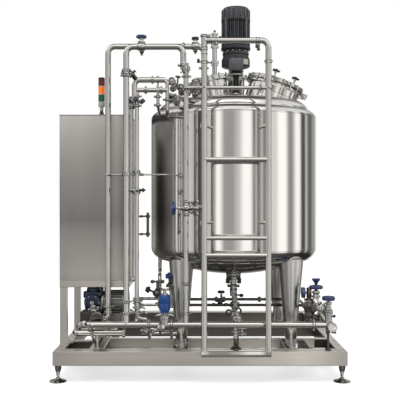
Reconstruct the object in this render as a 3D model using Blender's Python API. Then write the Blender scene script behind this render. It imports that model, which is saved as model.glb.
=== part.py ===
"""Mixing tank on a skid: jacketed stainless vessel with agitator, ladder, control cabinet and pipework.

Metres, +Z up. The origin is on the floor under the middle of the machine, and the front faces -Y.
Run with: blender --background --python part.py
"""
import math

import bmesh
import bpy
from mathutils import Matrix, Vector

# Touching solids keep this gap.
GAP = 0.0003

# Skid, the welded base frame. FRONT_Y is the front face of its front beam.
SKID_WIDTH = 2.40
SKID_DEPTH = 2.08
SKID_TOP = 0.255
BEAM_HEIGHT = 0.115
FRONT_BEAM_WIDTH = 0.12
SIDE_BEAM_WIDTH = 0.075
FRONT_Y = -1.0
SKID_BOTTOM = SKID_TOP - BEAM_HEIGHT
HALF_WIDTH = SKID_WIDTH / 2

# Levelling feet.
FOOT_RADIUS = 0.07
FOOT_X = 1.165
FOOT_INSET = 0.055

# Tank: jacket, heads and their rounds.
TANK_X = 0.3085
TANK_BEHIND = 0.79
JACKET_RADIUS = 0.762
VESSEL_RADIUS = 0.684
HEAD_RADIUS = 0.692
COLLAR_RADIUS = 0.70
WALL_TOP = 2.223
WALL_BOTTOM = 1.060
TOP_ROUND = JACKET_RADIUS - COLLAR_RADIUS
BOTTOM_ROUND = 0.108
CROWN_RADIUS = 2.60
KNUCKLE_RADIUS = 0.080
HEAD_RIM_Z = WALL_TOP + TOP_ROUND + GAP
TOP_APEX = 2.4407
DISH_LOWEST = 0.812
HEAD_SHEET = 0.008
TANK_STEPS = 44

# Tank legs.
LEG_SPREAD = 0.47
LEG_TOP_RADIUS = 0.115
LEG_FOOT_RADIUS = 0.045
LEG_END_Z = 0.295

# Manway, tilted outwards on the right of the top head.
MANWAY_X = 0.678
MANWAY_BEHIND = 0.66
MANWAY_SEAL_Z = 2.515
MANWAY_TILT = math.radians(18.5)
MANWAY_BORE = 0.225
MANWAY_NECK = 0.233
MANWAY_FLANGE = 0.258
LID_THICKNESS = 0.045
HINGE_OUT = 0.032
HINGE_UP = 0.010

# Port on the left of the top head, with the riser on its cover.
PORT_X = 0.062
PORT_BEHIND = 0.64
PORT_TOP_Z = 2.580
PORT_TILT = math.radians(-15.0)
PORT_RADIUS = 0.165
PORT_RIM = 0.187
RISER_X = 0.131
RISER_RADIUS = 0.021
RISER_TOP_Z = 3.000

# Agitator drive over the top head.
DRIVE_X = 0.330
SHAFT_RADIUS = 0.022
LANTERN_BASE_Z = 2.452
LANTERN_TOP_Z = 2.660
GEARBOX_TOP_Z = 2.824
MOTOR_TOP_Z = 3.268
IMPELLER_Z = 1.080

# Ladder frame in front of the tank.
LADDER_AHEAD = 0.0665
LADDER_LEFT_X = 0.034
LADDER_RIGHT_X = 0.549
LADDER_RADIUS = 0.024
LADDER_FOOT_Z = 0.254
LADDER_TOP_Z = 2.768
LADDER_BEND = 0.060
STILE_TOP_Z = 2.815
HANDRAIL_Z = 2.389
HANDRAIL_RADIUS = 0.015

# Control cabinet, its stand and its lamp.
CABINET_LEFT = -HALF_WIDTH
CABINET_RIGHT = -0.60
CABINET_FRONT = 0.275
CABINET_REAR = 1.00
CABINET_BOTTOM_Z = 0.803
CABINET_TOP_Z = 2.215
POST_SIZE = 0.060
LAMP_X = -0.851
LAMP_BEHIND = 0.35
LAMP_TOP_Z = 2.545

# Pipework planes and levels.
FRONT_PLANE = 0.05
MIDDLE_PLANE = 0.12
REAR_PLANE = 0.215
HEADER_Z = 0.465
HEADER_RADIUS = 0.026
HEADER_LEFT = -0.930
HEADER_RIGHT = 1.053
FEED_PIPE_X = -0.776
FEED_PIPE_TOP = 2.783
RETURN_PIPE_X = -0.605
RETURN_PIPE_TOP = 2.744
RETURN_DROP_X = -0.1378
DROP_PIPE_X = -0.1157
DROP_PIPE_TOP = 2.560
LOOP_PIPE_X = -0.526
LOOP_PIPE_TOP = 2.484
LOOP_ELBOW_X = -0.545
LOOP_DROP_X = -0.272
LOOP_END_Z = 2.205
RISER_PIPE_X = -0.573
RISER_PIPE_BEHIND = 0.160
RISER_PIPE_LOW, RISER_PIPE_HIGH = 0.855, 2.285
LOWER_PIPE_Z = 0.375
VALVE_PLANE = 0.200
UPPER_VALVE_X = 0.976
SIDE_WHEEL_X = 0.868
SIDE_WHEEL_Z = 0.709
END_WHEEL_Z = 0.682
END_VALVE_RADIUS = 0.027
BEND_RADIUS = 0.057
COLLAR_HALF = 0.009

# Bars and pipes are ten-sided. FLAT_SHARE is a flat's distance from the middle as a share of the radius.
PIPE_SIDES_RESOLUTION = 3
FLAT_SHARE = math.cos(math.pi / 10)
ARC_STEPS = 4

METAL = dict(colour=(0.62, 0.60, 0.57), roughness=0.32, metallic=1.0)
MATERIALS = {
    "brushed_steel": METAL,
    "mirror_steel": dict(colour=(0.70, 0.69, 0.67), roughness=0.12, metallic=1.0),
    "motor_grey": dict(colour=(0.055, 0.060, 0.070), roughness=0.45, metallic=0.3),
    "blue_plastic": dict(colour=(0.010, 0.030, 0.140), roughness=0.35, metallic=0.0),
    "actuator_blue": dict(colour=(0.006, 0.090, 0.420), roughness=0.35, metallic=0.0),
    "pump_navy": dict(colour=(0.010, 0.016, 0.045), roughness=0.40, metallic=0.1),
    "pump_grey": dict(colour=(0.16, 0.16, 0.155), roughness=0.45, metallic=0.6),
    "black_plastic": dict(colour=(0.02, 0.02, 0.02), roughness=0.4, metallic=0.0),
}


def at(x, behind, z):
    """A point given by its distance behind the skid's front face."""
    return Vector((x, FRONT_Y + behind, z))


def clear_scene():
    for thing in list(bpy.data.objects):
        bpy.data.objects.remove(thing, do_unlink=True)


def get_material(name):
    existing = bpy.data.materials.get(name)
    if existing:
        return existing
    made = bpy.data.materials.new(name)
    made.use_nodes = True
    values = MATERIALS[name]
    shader = made.node_tree.nodes["Principled BSDF"]
    shader.inputs["Base Color"].default_value = (*values["colour"], 1.0)
    shader.inputs["Roughness"].default_value = values["roughness"]
    shader.inputs["Metallic"].default_value = values["metallic"]
    return made


def add_object(name, bm, material, smooth=True):
    """Turn a bmesh into a named object of one material."""
    mesh = bpy.data.meshes.new(name)
    bm.to_mesh(mesh)
    bm.free()
    mesh.materials.append(get_material(material))
    if smooth:
        mesh.shade_smooth()
        mesh.set_sharp_from_angle(angle=math.radians(35))
    made = bpy.data.objects.new(name, mesh)
    bpy.context.scene.collection.objects.link(made)
    return made


def as_cutter(thing):
    thing.hide_render = True
    thing.display_type = "WIRE"
    return thing


def combine(target, tool, operation):
    """Join or cut one object with another by a Boolean modifier."""
    modifier = target.modifiers.new(tool.name, "BOOLEAN")
    modifier.operation = operation
    modifier.solver = "EXACT"
    modifier.object = as_cutter(tool)
    return target


def box(name, low, high, material, round_edges=0.0, place=Matrix()):
    """A square-cut block between two corners, with its edges rounded off where asked."""
    bm = bmesh.new()
    bmesh.ops.create_cube(bm, size=1.0)
    bmesh.ops.scale(bm, vec=high - low, verts=bm.verts)
    if round_edges:
        bmesh.ops.bevel(bm, geom=bm.edges[:], offset=round_edges, segments=1, profile=0.5, affect="EDGES")
    made = add_object(name, bm, material, smooth=bool(round_edges))
    made.matrix_world = place @ Matrix.Translation((low + high) / 2)
    return made


def turned_mesh(profile, steps, closed=False):
    """Spin a profile of (radius, height) points about Z. A closed profile is a ring of its own."""
    bm = bmesh.new()
    rim = [bm.verts.new((radius, 0.0, height)) for radius, height in profile]
    edges = [bm.edges.new(pair) for pair in zip(rim, rim[1:])]
    if closed:
        edges.append(bm.edges.new((rim[-1], rim[0])))
    bmesh.ops.spin(bm, geom=rim + edges, cent=(0, 0, 0), axis=(0, 0, 1), angle=math.tau,
                   steps=steps, use_merge=True)
    bmesh.ops.remove_doubles(bm, verts=bm.verts, dist=1e-6)
    bmesh.ops.recalc_face_normals(bm, faces=bm.faces)
    return bm


def turned(name, profile, material, place, steps=24, closed=False):
    """A turned piece: place is the matrix from its own axis to the machine."""
    made = add_object(name, turned_mesh(profile, steps, closed), material)
    made.matrix_world = place
    return made


def upright_at(x, behind, z=0.0):
    return Matrix.Translation(at(x, behind, z))


def aimed(point, direction):
    """A matrix that puts the local Z axis along a direction at a point."""
    return Matrix.Translation(point) @ direction.to_track_quat("Z", "Y").to_matrix().to_4x4()


def arc_points(centre_r, centre_z, radius, start, end, steps):
    """Points of a round in the (radius, height) plane, with angles in degrees from the +r axis."""
    points = []
    for index in range(steps + 1):
        angle = math.radians(start + (end - start) * index / steps)
        points.append((centre_r + radius * math.cos(angle), centre_z + radius * math.sin(angle)))
    return points


def bent_route(corners, bend):
    """The corners of a pipe's centre line, with each bend drawn as an arc."""
    points = [corners[0]]
    for before, corner, after in zip(corners, corners[1:], corners[2:]):
        into = (corner - before).normalized()
        out = (after - corner).normalized()
        turn = into.angle(out)
        reach = bend * math.tan(turn / 2)
        centre = corner - into * reach + (out - into * into.dot(out)).normalized() * bend
        start_arm = corner - into * reach - centre
        axis = into.cross(out).normalized()
        for index in range(ARC_STEPS + 1):
            points.append(centre + Matrix.Rotation(turn * index / ARC_STEPS, 3, axis) @ start_arm)
    points.append(corners[-1])
    return points


def with_collars(points, radius, collars):
    """Centre-line points with their radii, with a step out and in again at each collar."""
    path = [(point, radius) for point in points]
    for centre, half, wide in collars:
        best = None
        for index, ((start, start_radius), (end, _)) in enumerate(zip(path, path[1:])):
            run = end - start
            share = (centre - start).dot(run) / run.length_squared
            if not 0.0 <= share <= 1.0:
                continue
            miss = (start + run * share - centre).length
            if best is None or miss < best[0]:
                best = (miss, index, start + run * share, run.normalized(), start_radius)
        _, index, middle, along, plain = best
        step = along * 0.0002
        edge = along * half
        path[index + 1:index + 1] = [(middle - edge, plain), (middle - edge + step, wide),
                                     (middle + edge - step, wide), (middle + edge, plain)]
    return path


def tube(name, path, material="brushed_steel"):
    """A round bar swept along (point, radius) pairs, closed at both ends."""
    origin = path[0][0].copy()
    curve = bpy.data.curves.new(name, "CURVE")
    curve.dimensions = "3D"
    curve.bevel_depth = 1.0
    curve.bevel_resolution = PIPE_SIDES_RESOLUTION
    curve.use_fill_caps = True
    curve.render_resolution_u = 0
    spline = curve.splines.new("POLY")
    spline.points.add(len(path) - 1)
    for slot, (point, radius) in zip(spline.points, path):
        slot.co = (*(point - origin), 1.0)
        slot.radius = radius
    spline.use_smooth = True
    holder = bpy.data.objects.new(name + "_line", curve)
    bpy.context.scene.collection.objects.link(holder)
    mesh = bpy.data.meshes.new_from_object(holder.evaluated_get(bpy.context.evaluated_depsgraph_get()))
    bpy.data.objects.remove(holder, do_unlink=True)
    mesh.name = name
    bm = bmesh.new()
    bm.from_mesh(mesh)
    bmesh.ops.remove_doubles(bm, verts=bm.verts, dist=1e-5)
    bmesh.ops.recalc_face_normals(bm, faces=bm.faces)
    bpy.data.meshes.remove(mesh)
    made = add_object(name, bm, material)
    made.location = origin
    return made


def pipe(name, corners, radius, bend=BEND_RADIUS, collars=(), material="brushed_steel"):
    """A pipe run through its corners, with clamp collars of (centre, radius)."""
    rings = [(centre, COLLAR_HALF, wide) for centre, wide in collars]
    return tube(name, with_collars(bent_route(corners, bend), radius, rings), material)


def rod(name, start, end, radius, material="brushed_steel"):
    return tube(name, [(start, radius), (end, radius)], material)


def tank_outline(grow=0.0):
    """Outer profile of the whole vessel from the top's middle to the dish's lowest point."""
    knuckle_r = HEAD_RADIUS - KNUCKLE_RADIUS
    join = math.acos(knuckle_r / (CROWN_RADIUS - KNUCKLE_RADIUS))
    crown_centre_z = HEAD_RIM_Z - (CROWN_RADIUS - KNUCKLE_RADIUS) * math.sin(join)
    crown = arc_points(0.0, crown_centre_z, CROWN_RADIUS + grow, 90.0, math.degrees(join), 3)
    knuckle = arc_points(knuckle_r, HEAD_RIM_Z, KNUCKLE_RADIUS + grow, math.degrees(join), 0.0, 4)
    shoulder = arc_points(COLLAR_RADIUS, WALL_TOP, TOP_ROUND + grow, 90.0, 0.0, 4)
    round_r = JACKET_RADIUS - BOTTOM_ROUND
    round_end = -math.degrees(math.acos((COLLAR_RADIUS - round_r) / BOTTOM_ROUND))
    lower = arc_points(round_r, WALL_BOTTOM, BOTTOM_ROUND + grow, 0.0, round_end, 4)
    return crown, knuckle, shoulder, lower, dish_arc(grow)


def wall_bottom_z():
    """Height at which the jacket's lower round meets the dish."""
    round_r = JACKET_RADIUS - BOTTOM_ROUND
    return WALL_BOTTOM - math.sqrt(BOTTOM_ROUND ** 2 - (COLLAR_RADIUS - round_r) ** 2)


def dish_arc(grow=0.0):
    """The bottom dish from its rim to its lowest point, as one spherical cap."""
    rise = wall_bottom_z() - DISH_LOWEST
    radius = (HEAD_RADIUS ** 2 + rise ** 2) / (2 * rise)
    reach = math.degrees(math.asin(HEAD_RADIUS / radius))
    return arc_points(0.0, DISH_LOWEST + radius, radius + grow, reach - 90.0, -90.0, 4)


def tank_cutter(name):
    """The whole vessel's outline, a gap larger, for trimming what is welded on to it."""
    crown, knuckle, shoulder, lower, dish = tank_outline(GAP)
    profile = crown + knuckle + shoulder + lower + dish
    profile[0] = (0.0, profile[0][1])
    profile[-1] = (0.0, profile[-1][1])
    return as_cutter(turned(name, profile, "brushed_steel", upright_at(TANK_X, TANK_BEHIND), TANK_STEPS))


def make_skid():
    front, rear = FRONT_BEAM_WIDTH, SKID_DEPTH - FRONT_BEAM_WIDTH
    side_x = HALF_WIDTH - SIDE_BEAM_WIDTH
    mid_front, mid_rear = 0.51, 0.575
    cross_left, cross_right = -0.92, -0.80
    leg_rail_front, leg_rail_rear = 1.20, 1.32
    leg_half = 0.065
    beams = {
        "skid_front_beam": (-HALF_WIDTH, HALF_WIDTH, 0.0, front),
        "skid_rear_beam": (-HALF_WIDTH, HALF_WIDTH, rear, SKID_DEPTH),
        "skid_left_beam": (-HALF_WIDTH, -side_x, front + GAP, rear - GAP),
        "skid_right_beam": (side_x, HALF_WIDTH, front + GAP, rear - GAP),
        "skid_cabinet_beam": (cross_left, cross_right, front + GAP, rear - GAP),
        "skid_bay_beam": (-side_x + GAP, cross_left - GAP, 0.41, 0.50),
        "skid_middle_beam": (cross_right + GAP, side_x - GAP, mid_front, mid_rear),
        "skid_rear_leg_beam": (cross_right + GAP, side_x - GAP, leg_rail_front, leg_rail_rear),
    }
    for side, sign in (("left", -1), ("right", 1)):
        middle = TANK_X + sign * LEG_SPREAD
        beams[f"skid_{side}_leg_beam"] = (middle - leg_half, middle + leg_half, front + GAP, mid_front - GAP)
    for name, (left, right, near, far) in beams.items():
        box(name, at(left, near, SKID_BOTTOM), at(right, far, SKID_TOP), "brushed_steel", 0.003)


def make_feet():
    socket, stem = 0.026, 0.013
    profile = [(0.0, 0.0), (FOOT_RADIUS, 0.0), (FOOT_RADIUS, 0.008), (0.024, 0.016), (stem, 0.026),
               (stem, 0.080), (socket, 0.085), (socket, SKID_BOTTOM - GAP), (0.0, SKID_BOTTOM - GAP)]
    for row, behind in (("front", FOOT_INSET), ("rear", SKID_DEPTH - FOOT_INSET)):
        for side, sign in (("left", -1), ("right", 1)):
            turned(f"foot_{row}_{side}", profile, "brushed_steel", upright_at(sign * FOOT_X, behind), 16)


def make_cabinet():
    deck_bottom = CABINET_BOTTOM_Z - POST_SIZE
    plate_top = SKID_TOP + 0.008
    second_post_x = -0.92
    posts = {("front", "left"): (-HALF_WIDTH, 0.290), ("front", "right"): (second_post_x, 0.520),
             ("rear", "left"): (-HALF_WIDTH, CABINET_REAR - POST_SIZE),
             ("rear", "right"): (second_post_x, CABINET_REAR - POST_SIZE)}
    for (row, side), (left, near) in posts.items():
        name = f"stand_post_{row}_{side}"
        low = at(left, near, SKID_TOP + GAP)
        box(name, low, at(left + POST_SIZE, near + POST_SIZE, deck_bottom - GAP), "brushed_steel")
        plate = box(name + "_plate", low + Vector((0.0, -0.015, 0.0)),
                    at(left + POST_SIZE + 0.012, near + POST_SIZE + 0.012, plate_top), "brushed_steel")
        combine(bpy.data.objects[name], plate, "UNION")
    box("stand_top_frame", at(CABINET_LEFT, CABINET_FRONT, deck_bottom),
        at(CABINET_RIGHT, CABINET_REAR, CABINET_BOTTOM_Z - GAP), "brushed_steel", 0.004)
    box("control_cabinet", at(CABINET_LEFT, CABINET_FRONT, CABINET_BOTTOM_Z),
        at(CABINET_RIGHT, CABINET_REAR, CABINET_TOP_Z), "brushed_steel", 0.004)
    foot, neck, lamp = 0.030, 0.012, 0.029
    base = CABINET_TOP_Z + GAP
    profile = [(0.0, base), (foot, base), (foot, base + 0.036), (neck, base + 0.040), (neck, base + 0.056),
               (lamp, base + 0.060), (lamp, LAMP_TOP_Z - 0.006), (lamp - 0.006, LAMP_TOP_Z),
               (0.0, LAMP_TOP_Z)]
    turned("stack_light", profile, "black_plastic", upright_at(LAMP_X, LAMP_BEHIND), 20)


def make_tank():
    place = upright_at(TANK_X, TANK_BEHIND)
    crown, knuckle, shoulder, lower, dish = tank_outline()
    wall = shoulder + lower + [(VESSEL_RADIUS, lower[-1][1]), (VESSEL_RADIUS, shoulder[0][1])]
    turned("tank_jacket", wall, "mirror_steel", place, TANK_STEPS, closed=True)

    # The top head stands on the jacket's upper ring, and the shaft passes through its middle.
    top = crown[0][1]
    inner_crown = arc_points(0.0, top - CROWN_RADIUS, CROWN_RADIUS - HEAD_SHEET, 90.0, 76.0, 3)
    outer = [(0.0, top)] + crown[1:] + knuckle[1:]
    inside_radius = HEAD_RADIUS - HEAD_SHEET
    inner = [(inside_radius, HEAD_RIM_Z), (inside_radius, HEAD_RIM_Z + 0.03)]
    inner += inner_crown[:0:-1] + [(0.0, top - HEAD_SHEET)]
    head = turned("tank_top_head", outer + inner, "mirror_steel", place, TANK_STEPS)
    hole = SHAFT_RADIUS + 0.012
    below, above = at(DRIVE_X, TANK_BEHIND, top - 0.1), at(DRIVE_X, TANK_BEHIND, top + 0.1)
    combine(head, rod("shaft_hole", below, above, hole), "DIFFERENCE")
    combine(head, manway_bore_cutter(), "DIFFERENCE")

    # The bottom head is one sheet, from its lowest point out to the rim and back along the inside.
    rim = dish[0][1] - GAP
    under = [(radius, min(height, rim)) for radius, height in dish[::-1]]
    under[0] = (0.0, under[0][1])
    shrink = 1 - HEAD_SHEET / HEAD_RADIUS
    inside = [(radius * shrink, min(height + HEAD_SHEET, rim)) for radius, height in dish]
    inside[-1] = (0.0, inside[-1][1])
    turned("tank_bottom_head", under + inside, "mirror_steel", place, TANK_STEPS)


def make_legs():
    bolt = 0.030
    plate = 0.055
    rows = {"front": -LEG_SPREAD, "rear": LEG_SPREAD}
    sides = {"left": -LEG_SPREAD, "right": LEG_SPREAD}
    base = SKID_TOP + GAP
    profile = [(0.0, base), (plate, base), (plate, base + 0.008), (bolt, base + 0.012),
               (bolt, LEG_END_Z - 0.004), (LEG_FOOT_RADIUS, LEG_END_Z), (LEG_TOP_RADIUS, WALL_BOTTOM - 0.02),
               (LEG_TOP_RADIUS, WALL_BOTTOM + 0.05), (0.0, WALL_BOTTOM + 0.05)]
    for row, back in rows.items():
        for side, across in sides.items():
            leg = turned(f"tank_leg_{row}_{side}", profile, "brushed_steel",
                         upright_at(TANK_X + across, TANK_BEHIND + back), 20)
            combine(leg, tank_cutter(leg.name + "_trim"), "DIFFERENCE")


def manway_frame():
    """The matrix of the manway: its own Z is the neck's axis, and its origin is on the seal."""
    return Matrix.Translation(at(MANWAY_X, MANWAY_BEHIND, MANWAY_SEAL_Z)) @ \
        Matrix.Rotation(MANWAY_TILT, 4, "Y")


def manway_bore_cutter():
    profile = [(0.0, -0.40), (MANWAY_BORE, -0.40), (MANWAY_BORE, 0.05), (0.0, 0.05)]
    return as_cutter(turned("manway_bore", profile, "brushed_steel", manway_frame(), 32))


def make_manway():
    frame = manway_frame()
    flange = 0.022
    profile = [(MANWAY_BORE, 0.0), (MANWAY_BORE, -0.33), (MANWAY_NECK, -0.33), (MANWAY_NECK, -flange),
               (MANWAY_FLANGE, -flange), (MANWAY_FLANGE, 0.0)]
    neck = turned("manway_neck", profile, "mirror_steel", frame, 32, closed=True)
    hinge_r = MANWAY_FLANGE + HINGE_OUT
    barrel = 0.011
    knuckle_half = 0.030
    for side in (-1, 1):
        edges = sorted((side * (knuckle_half + 0.001), side * (knuckle_half + 0.012)))
        for part, (inside, top) in enumerate(((-0.012, -0.002), (0.006, 0.022))):
            low = Vector((MANWAY_FLANGE + inside, edges[0], -0.018))
            high = Vector((hinge_r + barrel, edges[1], top))
            ear = box(f"manway_ear_{side + 1}_{part}", low, high, "mirror_steel", place=frame)
            combine(neck, ear, "UNION")
    combine(neck, tank_cutter("manway_trim"), "DIFFERENCE")

    seal = GAP
    top = LID_THICKNESS
    profile = [(0.0, seal), (MANWAY_FLANGE, seal), (MANWAY_FLANGE, top - 0.006),
               (MANWAY_FLANGE - 0.010, top), (0.18, top + 0.012), (0.0, top + 0.018)]
    lid = turned("manway_lid", profile, "mirror_steel", frame, 32)
    lug = box("manway_lug", Vector((MANWAY_FLANGE - 0.030, -knuckle_half, 0.004)),
              Vector((hinge_r, knuckle_half, 0.020)), "mirror_steel", place=frame)
    combine(lid, lug, "UNION")
    profile = [(0.0, -knuckle_half + 0.0005), (barrel, -knuckle_half + 0.0005),
               (barrel, knuckle_half - 0.0005), (0.0, knuckle_half - 0.0005)]
    across = frame @ Matrix.Translation((hinge_r, 0.0, HINGE_UP)) @ Matrix.Rotation(math.radians(90), 4, "X")
    combine(lid, turned("manway_barrel", profile, "mirror_steel", across, 16), "UNION")

    # The lid hangs from an empty that stands on the hinge's axis.
    hinge = bpy.data.objects.new("manway_hinge", None)
    bpy.context.scene.collection.objects.link(hinge)
    hinge.location = across.translation
    lid.parent = hinge
    lid.matrix_parent_inverse = Matrix.Translation(-across.translation)


def make_left_port():
    """Tilted port with a clamped cover, and the riser that stands on the cover."""
    frame = Matrix.Translation(at(PORT_X, PORT_BEHIND, PORT_TOP_Z)) @ Matrix.Rotation(PORT_TILT, 4, "Y")
    profile = [(0.0, -0.32), (PORT_RADIUS, -0.32), (PORT_RADIUS, -0.045), (PORT_RIM, -0.041),
               (PORT_RIM, -0.006), (PORT_RIM - 0.008, 0.0), (0.0, 0.012)]
    port = turned("left_port", profile, "mirror_steel", frame, 28)
    combine(port, tank_cutter("port_trim"), "DIFFERENCE")
    low = at(RISER_X, PORT_BEHIND, PORT_TOP_Z - 0.02)
    high = at(RISER_X, PORT_BEHIND, RISER_TOP_Z)
    collars = [(at(RISER_X, PORT_BEHIND, 2.734), 0.034), (at(RISER_X, PORT_BEHIND, 2.927), 0.036)]
    combine(port, pipe("riser", [low, high], RISER_RADIUS, collars=collars), "UNION")


def make_drive():
    place = upright_at(DRIVE_X, TANK_BEHIND)
    inner, outer, flange = 0.040, 0.058, 0.074
    base, top = LANTERN_BASE_Z, LANTERN_TOP_Z
    profile = [(inner, base), (flange, base), (flange, base + 0.020), (outer, base + 0.024),
               (outer, top - 0.024), (flange, top - 0.020), (flange, top), (inner, top)]
    lantern = turned("agitator_lantern", profile, "brushed_steel", place, 20, closed=True)
    window, window_low, window_high = 0.027, base + 0.055, top - 0.050
    centre = at(DRIVE_X, TANK_BEHIND, 0.0)
    for turn, (across, along) in enumerate(((window, 0.2), (0.2, window))):
        low = centre + Vector((-across, -along, window_low))
        high = centre + Vector((across, along, window_high))
        combine(lantern, box(f"lantern_window_{turn}", low, high, "brushed_steel"), "DIFFERENCE")

    # The nozzle under the lantern is welded on to the crown.
    nozzle = [(inner, TOP_APEX - 0.06), (outer, TOP_APEX - 0.06), (outer, base - GAP), (inner, base - GAP)]
    collar = turned("agitator_nozzle", nozzle, "brushed_steel", place, 16, closed=True)
    combine(collar, tank_cutter("nozzle_trim"), "DIFFERENCE")

    low = top + GAP
    body, plate = 0.132, 0.064
    step = low + 0.062
    profile = [(0.0, low), (plate, low), (plate, step), (body - 0.01, step), (body, step + 0.008),
               (body, GEARBOX_TOP_Z - 0.034), (body - 0.012, GEARBOX_TOP_Z - 0.026),
               (body - 0.012, GEARBOX_TOP_Z), (0.0, GEARBOX_TOP_Z)]
    turned("agitator_gearbox", profile, "motor_grey", place, 24)

    low = GEARBOX_TOP_Z + GAP
    ring, body, cover = 0.122, 0.137, 0.134
    seam = 3.152
    profile = [(0.0, low), (ring, low), (ring, low + 0.030), (body - 0.004, low + 0.040),
               (body, low + 0.050), (body, seam - 0.004), (cover, seam), (cover, MOTOR_TOP_Z - 0.024),
               (cover - 0.008, MOTOR_TOP_Z - 0.008), (cover - 0.026, MOTOR_TOP_Z), (0.0, MOTOR_TOP_Z)]
    turned("agitator_motor", profile, "motor_grey", place, 24)


def make_shaft():
    """Agitator shaft with a pitched-blade impeller, which turns as one piece."""
    blade_reach, blade_half, blade_thick = 0.230, 0.036, 0.008
    hub = 0.045
    profile = [(0.0, IMPELLER_Z - 0.05), (hub, IMPELLER_Z - 0.05), (hub, IMPELLER_Z + 0.05),
               (SHAFT_RADIUS, IMPELLER_Z + 0.06), (SHAFT_RADIUS, LANTERN_TOP_Z - GAP),
               (0.0, LANTERN_TOP_Z - GAP)]
    shaft = turned("agitator_shaft", profile, "mirror_steel", upright_at(DRIVE_X, TANK_BEHIND), 16)
    for index in range(3):
        turn = upright_at(DRIVE_X, TANK_BEHIND, IMPELLER_Z) @ \
            Matrix.Rotation(math.tau * index / 3, 4, "Z") @ Matrix.Rotation(math.radians(40), 4, "X")
        low = Vector((0.02, -blade_half, -blade_thick / 2))
        high = Vector((blade_reach, blade_half, blade_thick / 2))
        blade = box(f"impeller_blade_{index}", low, high, "mirror_steel", place=turn)
        combine(shaft, blade, "UNION")


def make_ladder():
    """Welded tube frame with rungs, stood off the tank and bolted to the skid."""
    front = -LADDER_AHEAD
    left, right = LADDER_LEFT_X, LADDER_RIGHT_X
    low = LADDER_FOOT_Z - LADDER_RADIUS
    hoop = [at(left, front, LADDER_TOP_Z), at(right, front, LADDER_TOP_Z), at(right, front, low)]
    collars = [(at(left + 0.10, front, LADDER_TOP_Z), 0.030)]
    ladder = pipe("ladder", hoop, LADDER_RADIUS, LADDER_BEND, collars)
    stile = pipe("left_stile", [at(left, front, low), at(left, front, STILE_TOP_Z)], LADDER_RADIUS,
                 collars=[(at(left, front, 2.66), 0.030)])
    combine(ladder, stile, "UNION")
    rungs = {"foot": (LADDER_FOOT_Z, 0.0225), "low": (1.043, 0.0205), "guard": (1.182, 0.0175),
             "high": (1.813, 0.0225), "rail": (HANDRAIL_Z, HANDRAIL_RADIUS)}
    for label, (height, radius) in rungs.items():
        bar = rod(f"rung_{label}", at(left, front, height), at(right, front, height), radius)
        combine(ladder, bar, "UNION")
    drop_face = FRONT_PLANE - 0.021 - 0.006 - GAP
    rail = [at(left, front, HANDRAIL_Z), at(DROP_PIPE_X, front, HANDRAIL_Z),
            at(DROP_PIPE_X, drop_face, HANDRAIL_Z)]
    combine(ladder, pipe("rail_end", rail, HANDRAIL_RADIUS - 0.001, 0.04), "UNION")
    for side, x in (("left", left), ("right", right)):
        low = LADDER_FOOT_Z - 0.010
        combine(ladder, rod(f"skid_stub_{side}", at(x, front, low), at(x, -GAP, low), 0.012), "UNION")
        for level in (1.30, 2.10):
            arm = rod(f"arm_{side}_{level:.1f}", at(x, front, level), at(x, 0.20, level), 0.014)
            combine(arm, tank_cutter(arm.name + "_trim"), "DIFFERENCE")
            combine(ladder, arm, "UNION")


def make_feed_pipe():
    """From the pump, up beside the cabinet, across the top and down on to the tank."""
    plane = REAR_PLANE
    drop_x = 0.034
    corners = [at(-0.826 + GAP, plane, 0.490), at(FEED_PIPE_X, plane, 0.490),
               at(FEED_PIPE_X, plane, FEED_PIPE_TOP), at(drop_x, plane, FEED_PIPE_TOP),
               at(drop_x, plane, 2.25)]
    points = bent_route(corners[:3], 0.045)[:-1] + bent_route(corners[1:], BEND_RADIUS)[1:]
    marks = [(FEED_PIPE_X, 0.590), (FEED_PIPE_X, 2.62), (drop_x, 2.60), (-0.14, FEED_PIPE_TOP)]
    collars = [(at(x, plane, z), COLLAR_HALF, 0.032) for x, z in marks]
    feed = tube("feed_pipe", with_collars(points, 0.024, collars))
    combine(feed, tank_cutter("feed_trim"), "DIFFERENCE")
    valve = at(-0.040, plane, FEED_PIPE_TOP - 0.045)
    combine(feed, rod("feed_valve", valve, valve + Vector((0, 0, 0.100 - GAP)), 0.021), "UNION")


def header_top():
    """Height at which a pipe ends on the header's upper flat."""
    return HEADER_Z + HEADER_RADIUS * FLAT_SHARE + GAP


def make_return_pipe():
    """In front of the feed pipe, from the header to the union over the drop pipe."""
    plane = FRONT_PLANE
    corners = [at(RETURN_PIPE_X, plane, header_top()), at(RETURN_PIPE_X, plane, RETURN_PIPE_TOP),
               at(RETURN_DROP_X, plane, RETURN_PIPE_TOP), at(RETURN_DROP_X, plane, DROP_PIPE_TOP + GAP)]
    marks = [(RETURN_PIPE_X, 0.56), (RETURN_PIPE_X, 1.70), (-0.30, RETURN_PIPE_TOP), (RETURN_DROP_X, 2.575)]
    collars = [(at(x, plane, z), COLLAR_HALF, 0.034) for x, z in marks]
    collars.append((at(RETURN_PIPE_X, plane, 2.53), 0.022, 0.034))
    run = tube("return_pipe", with_collars(bent_route(corners, BEND_RADIUS), 0.0245, collars))
    valve = at(-0.481, plane, RETURN_PIPE_TOP - 0.055)
    combine(run, rod("return_valve", valve, valve + Vector((0, 0, 0.124 - GAP)), 0.022), "UNION")


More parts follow.
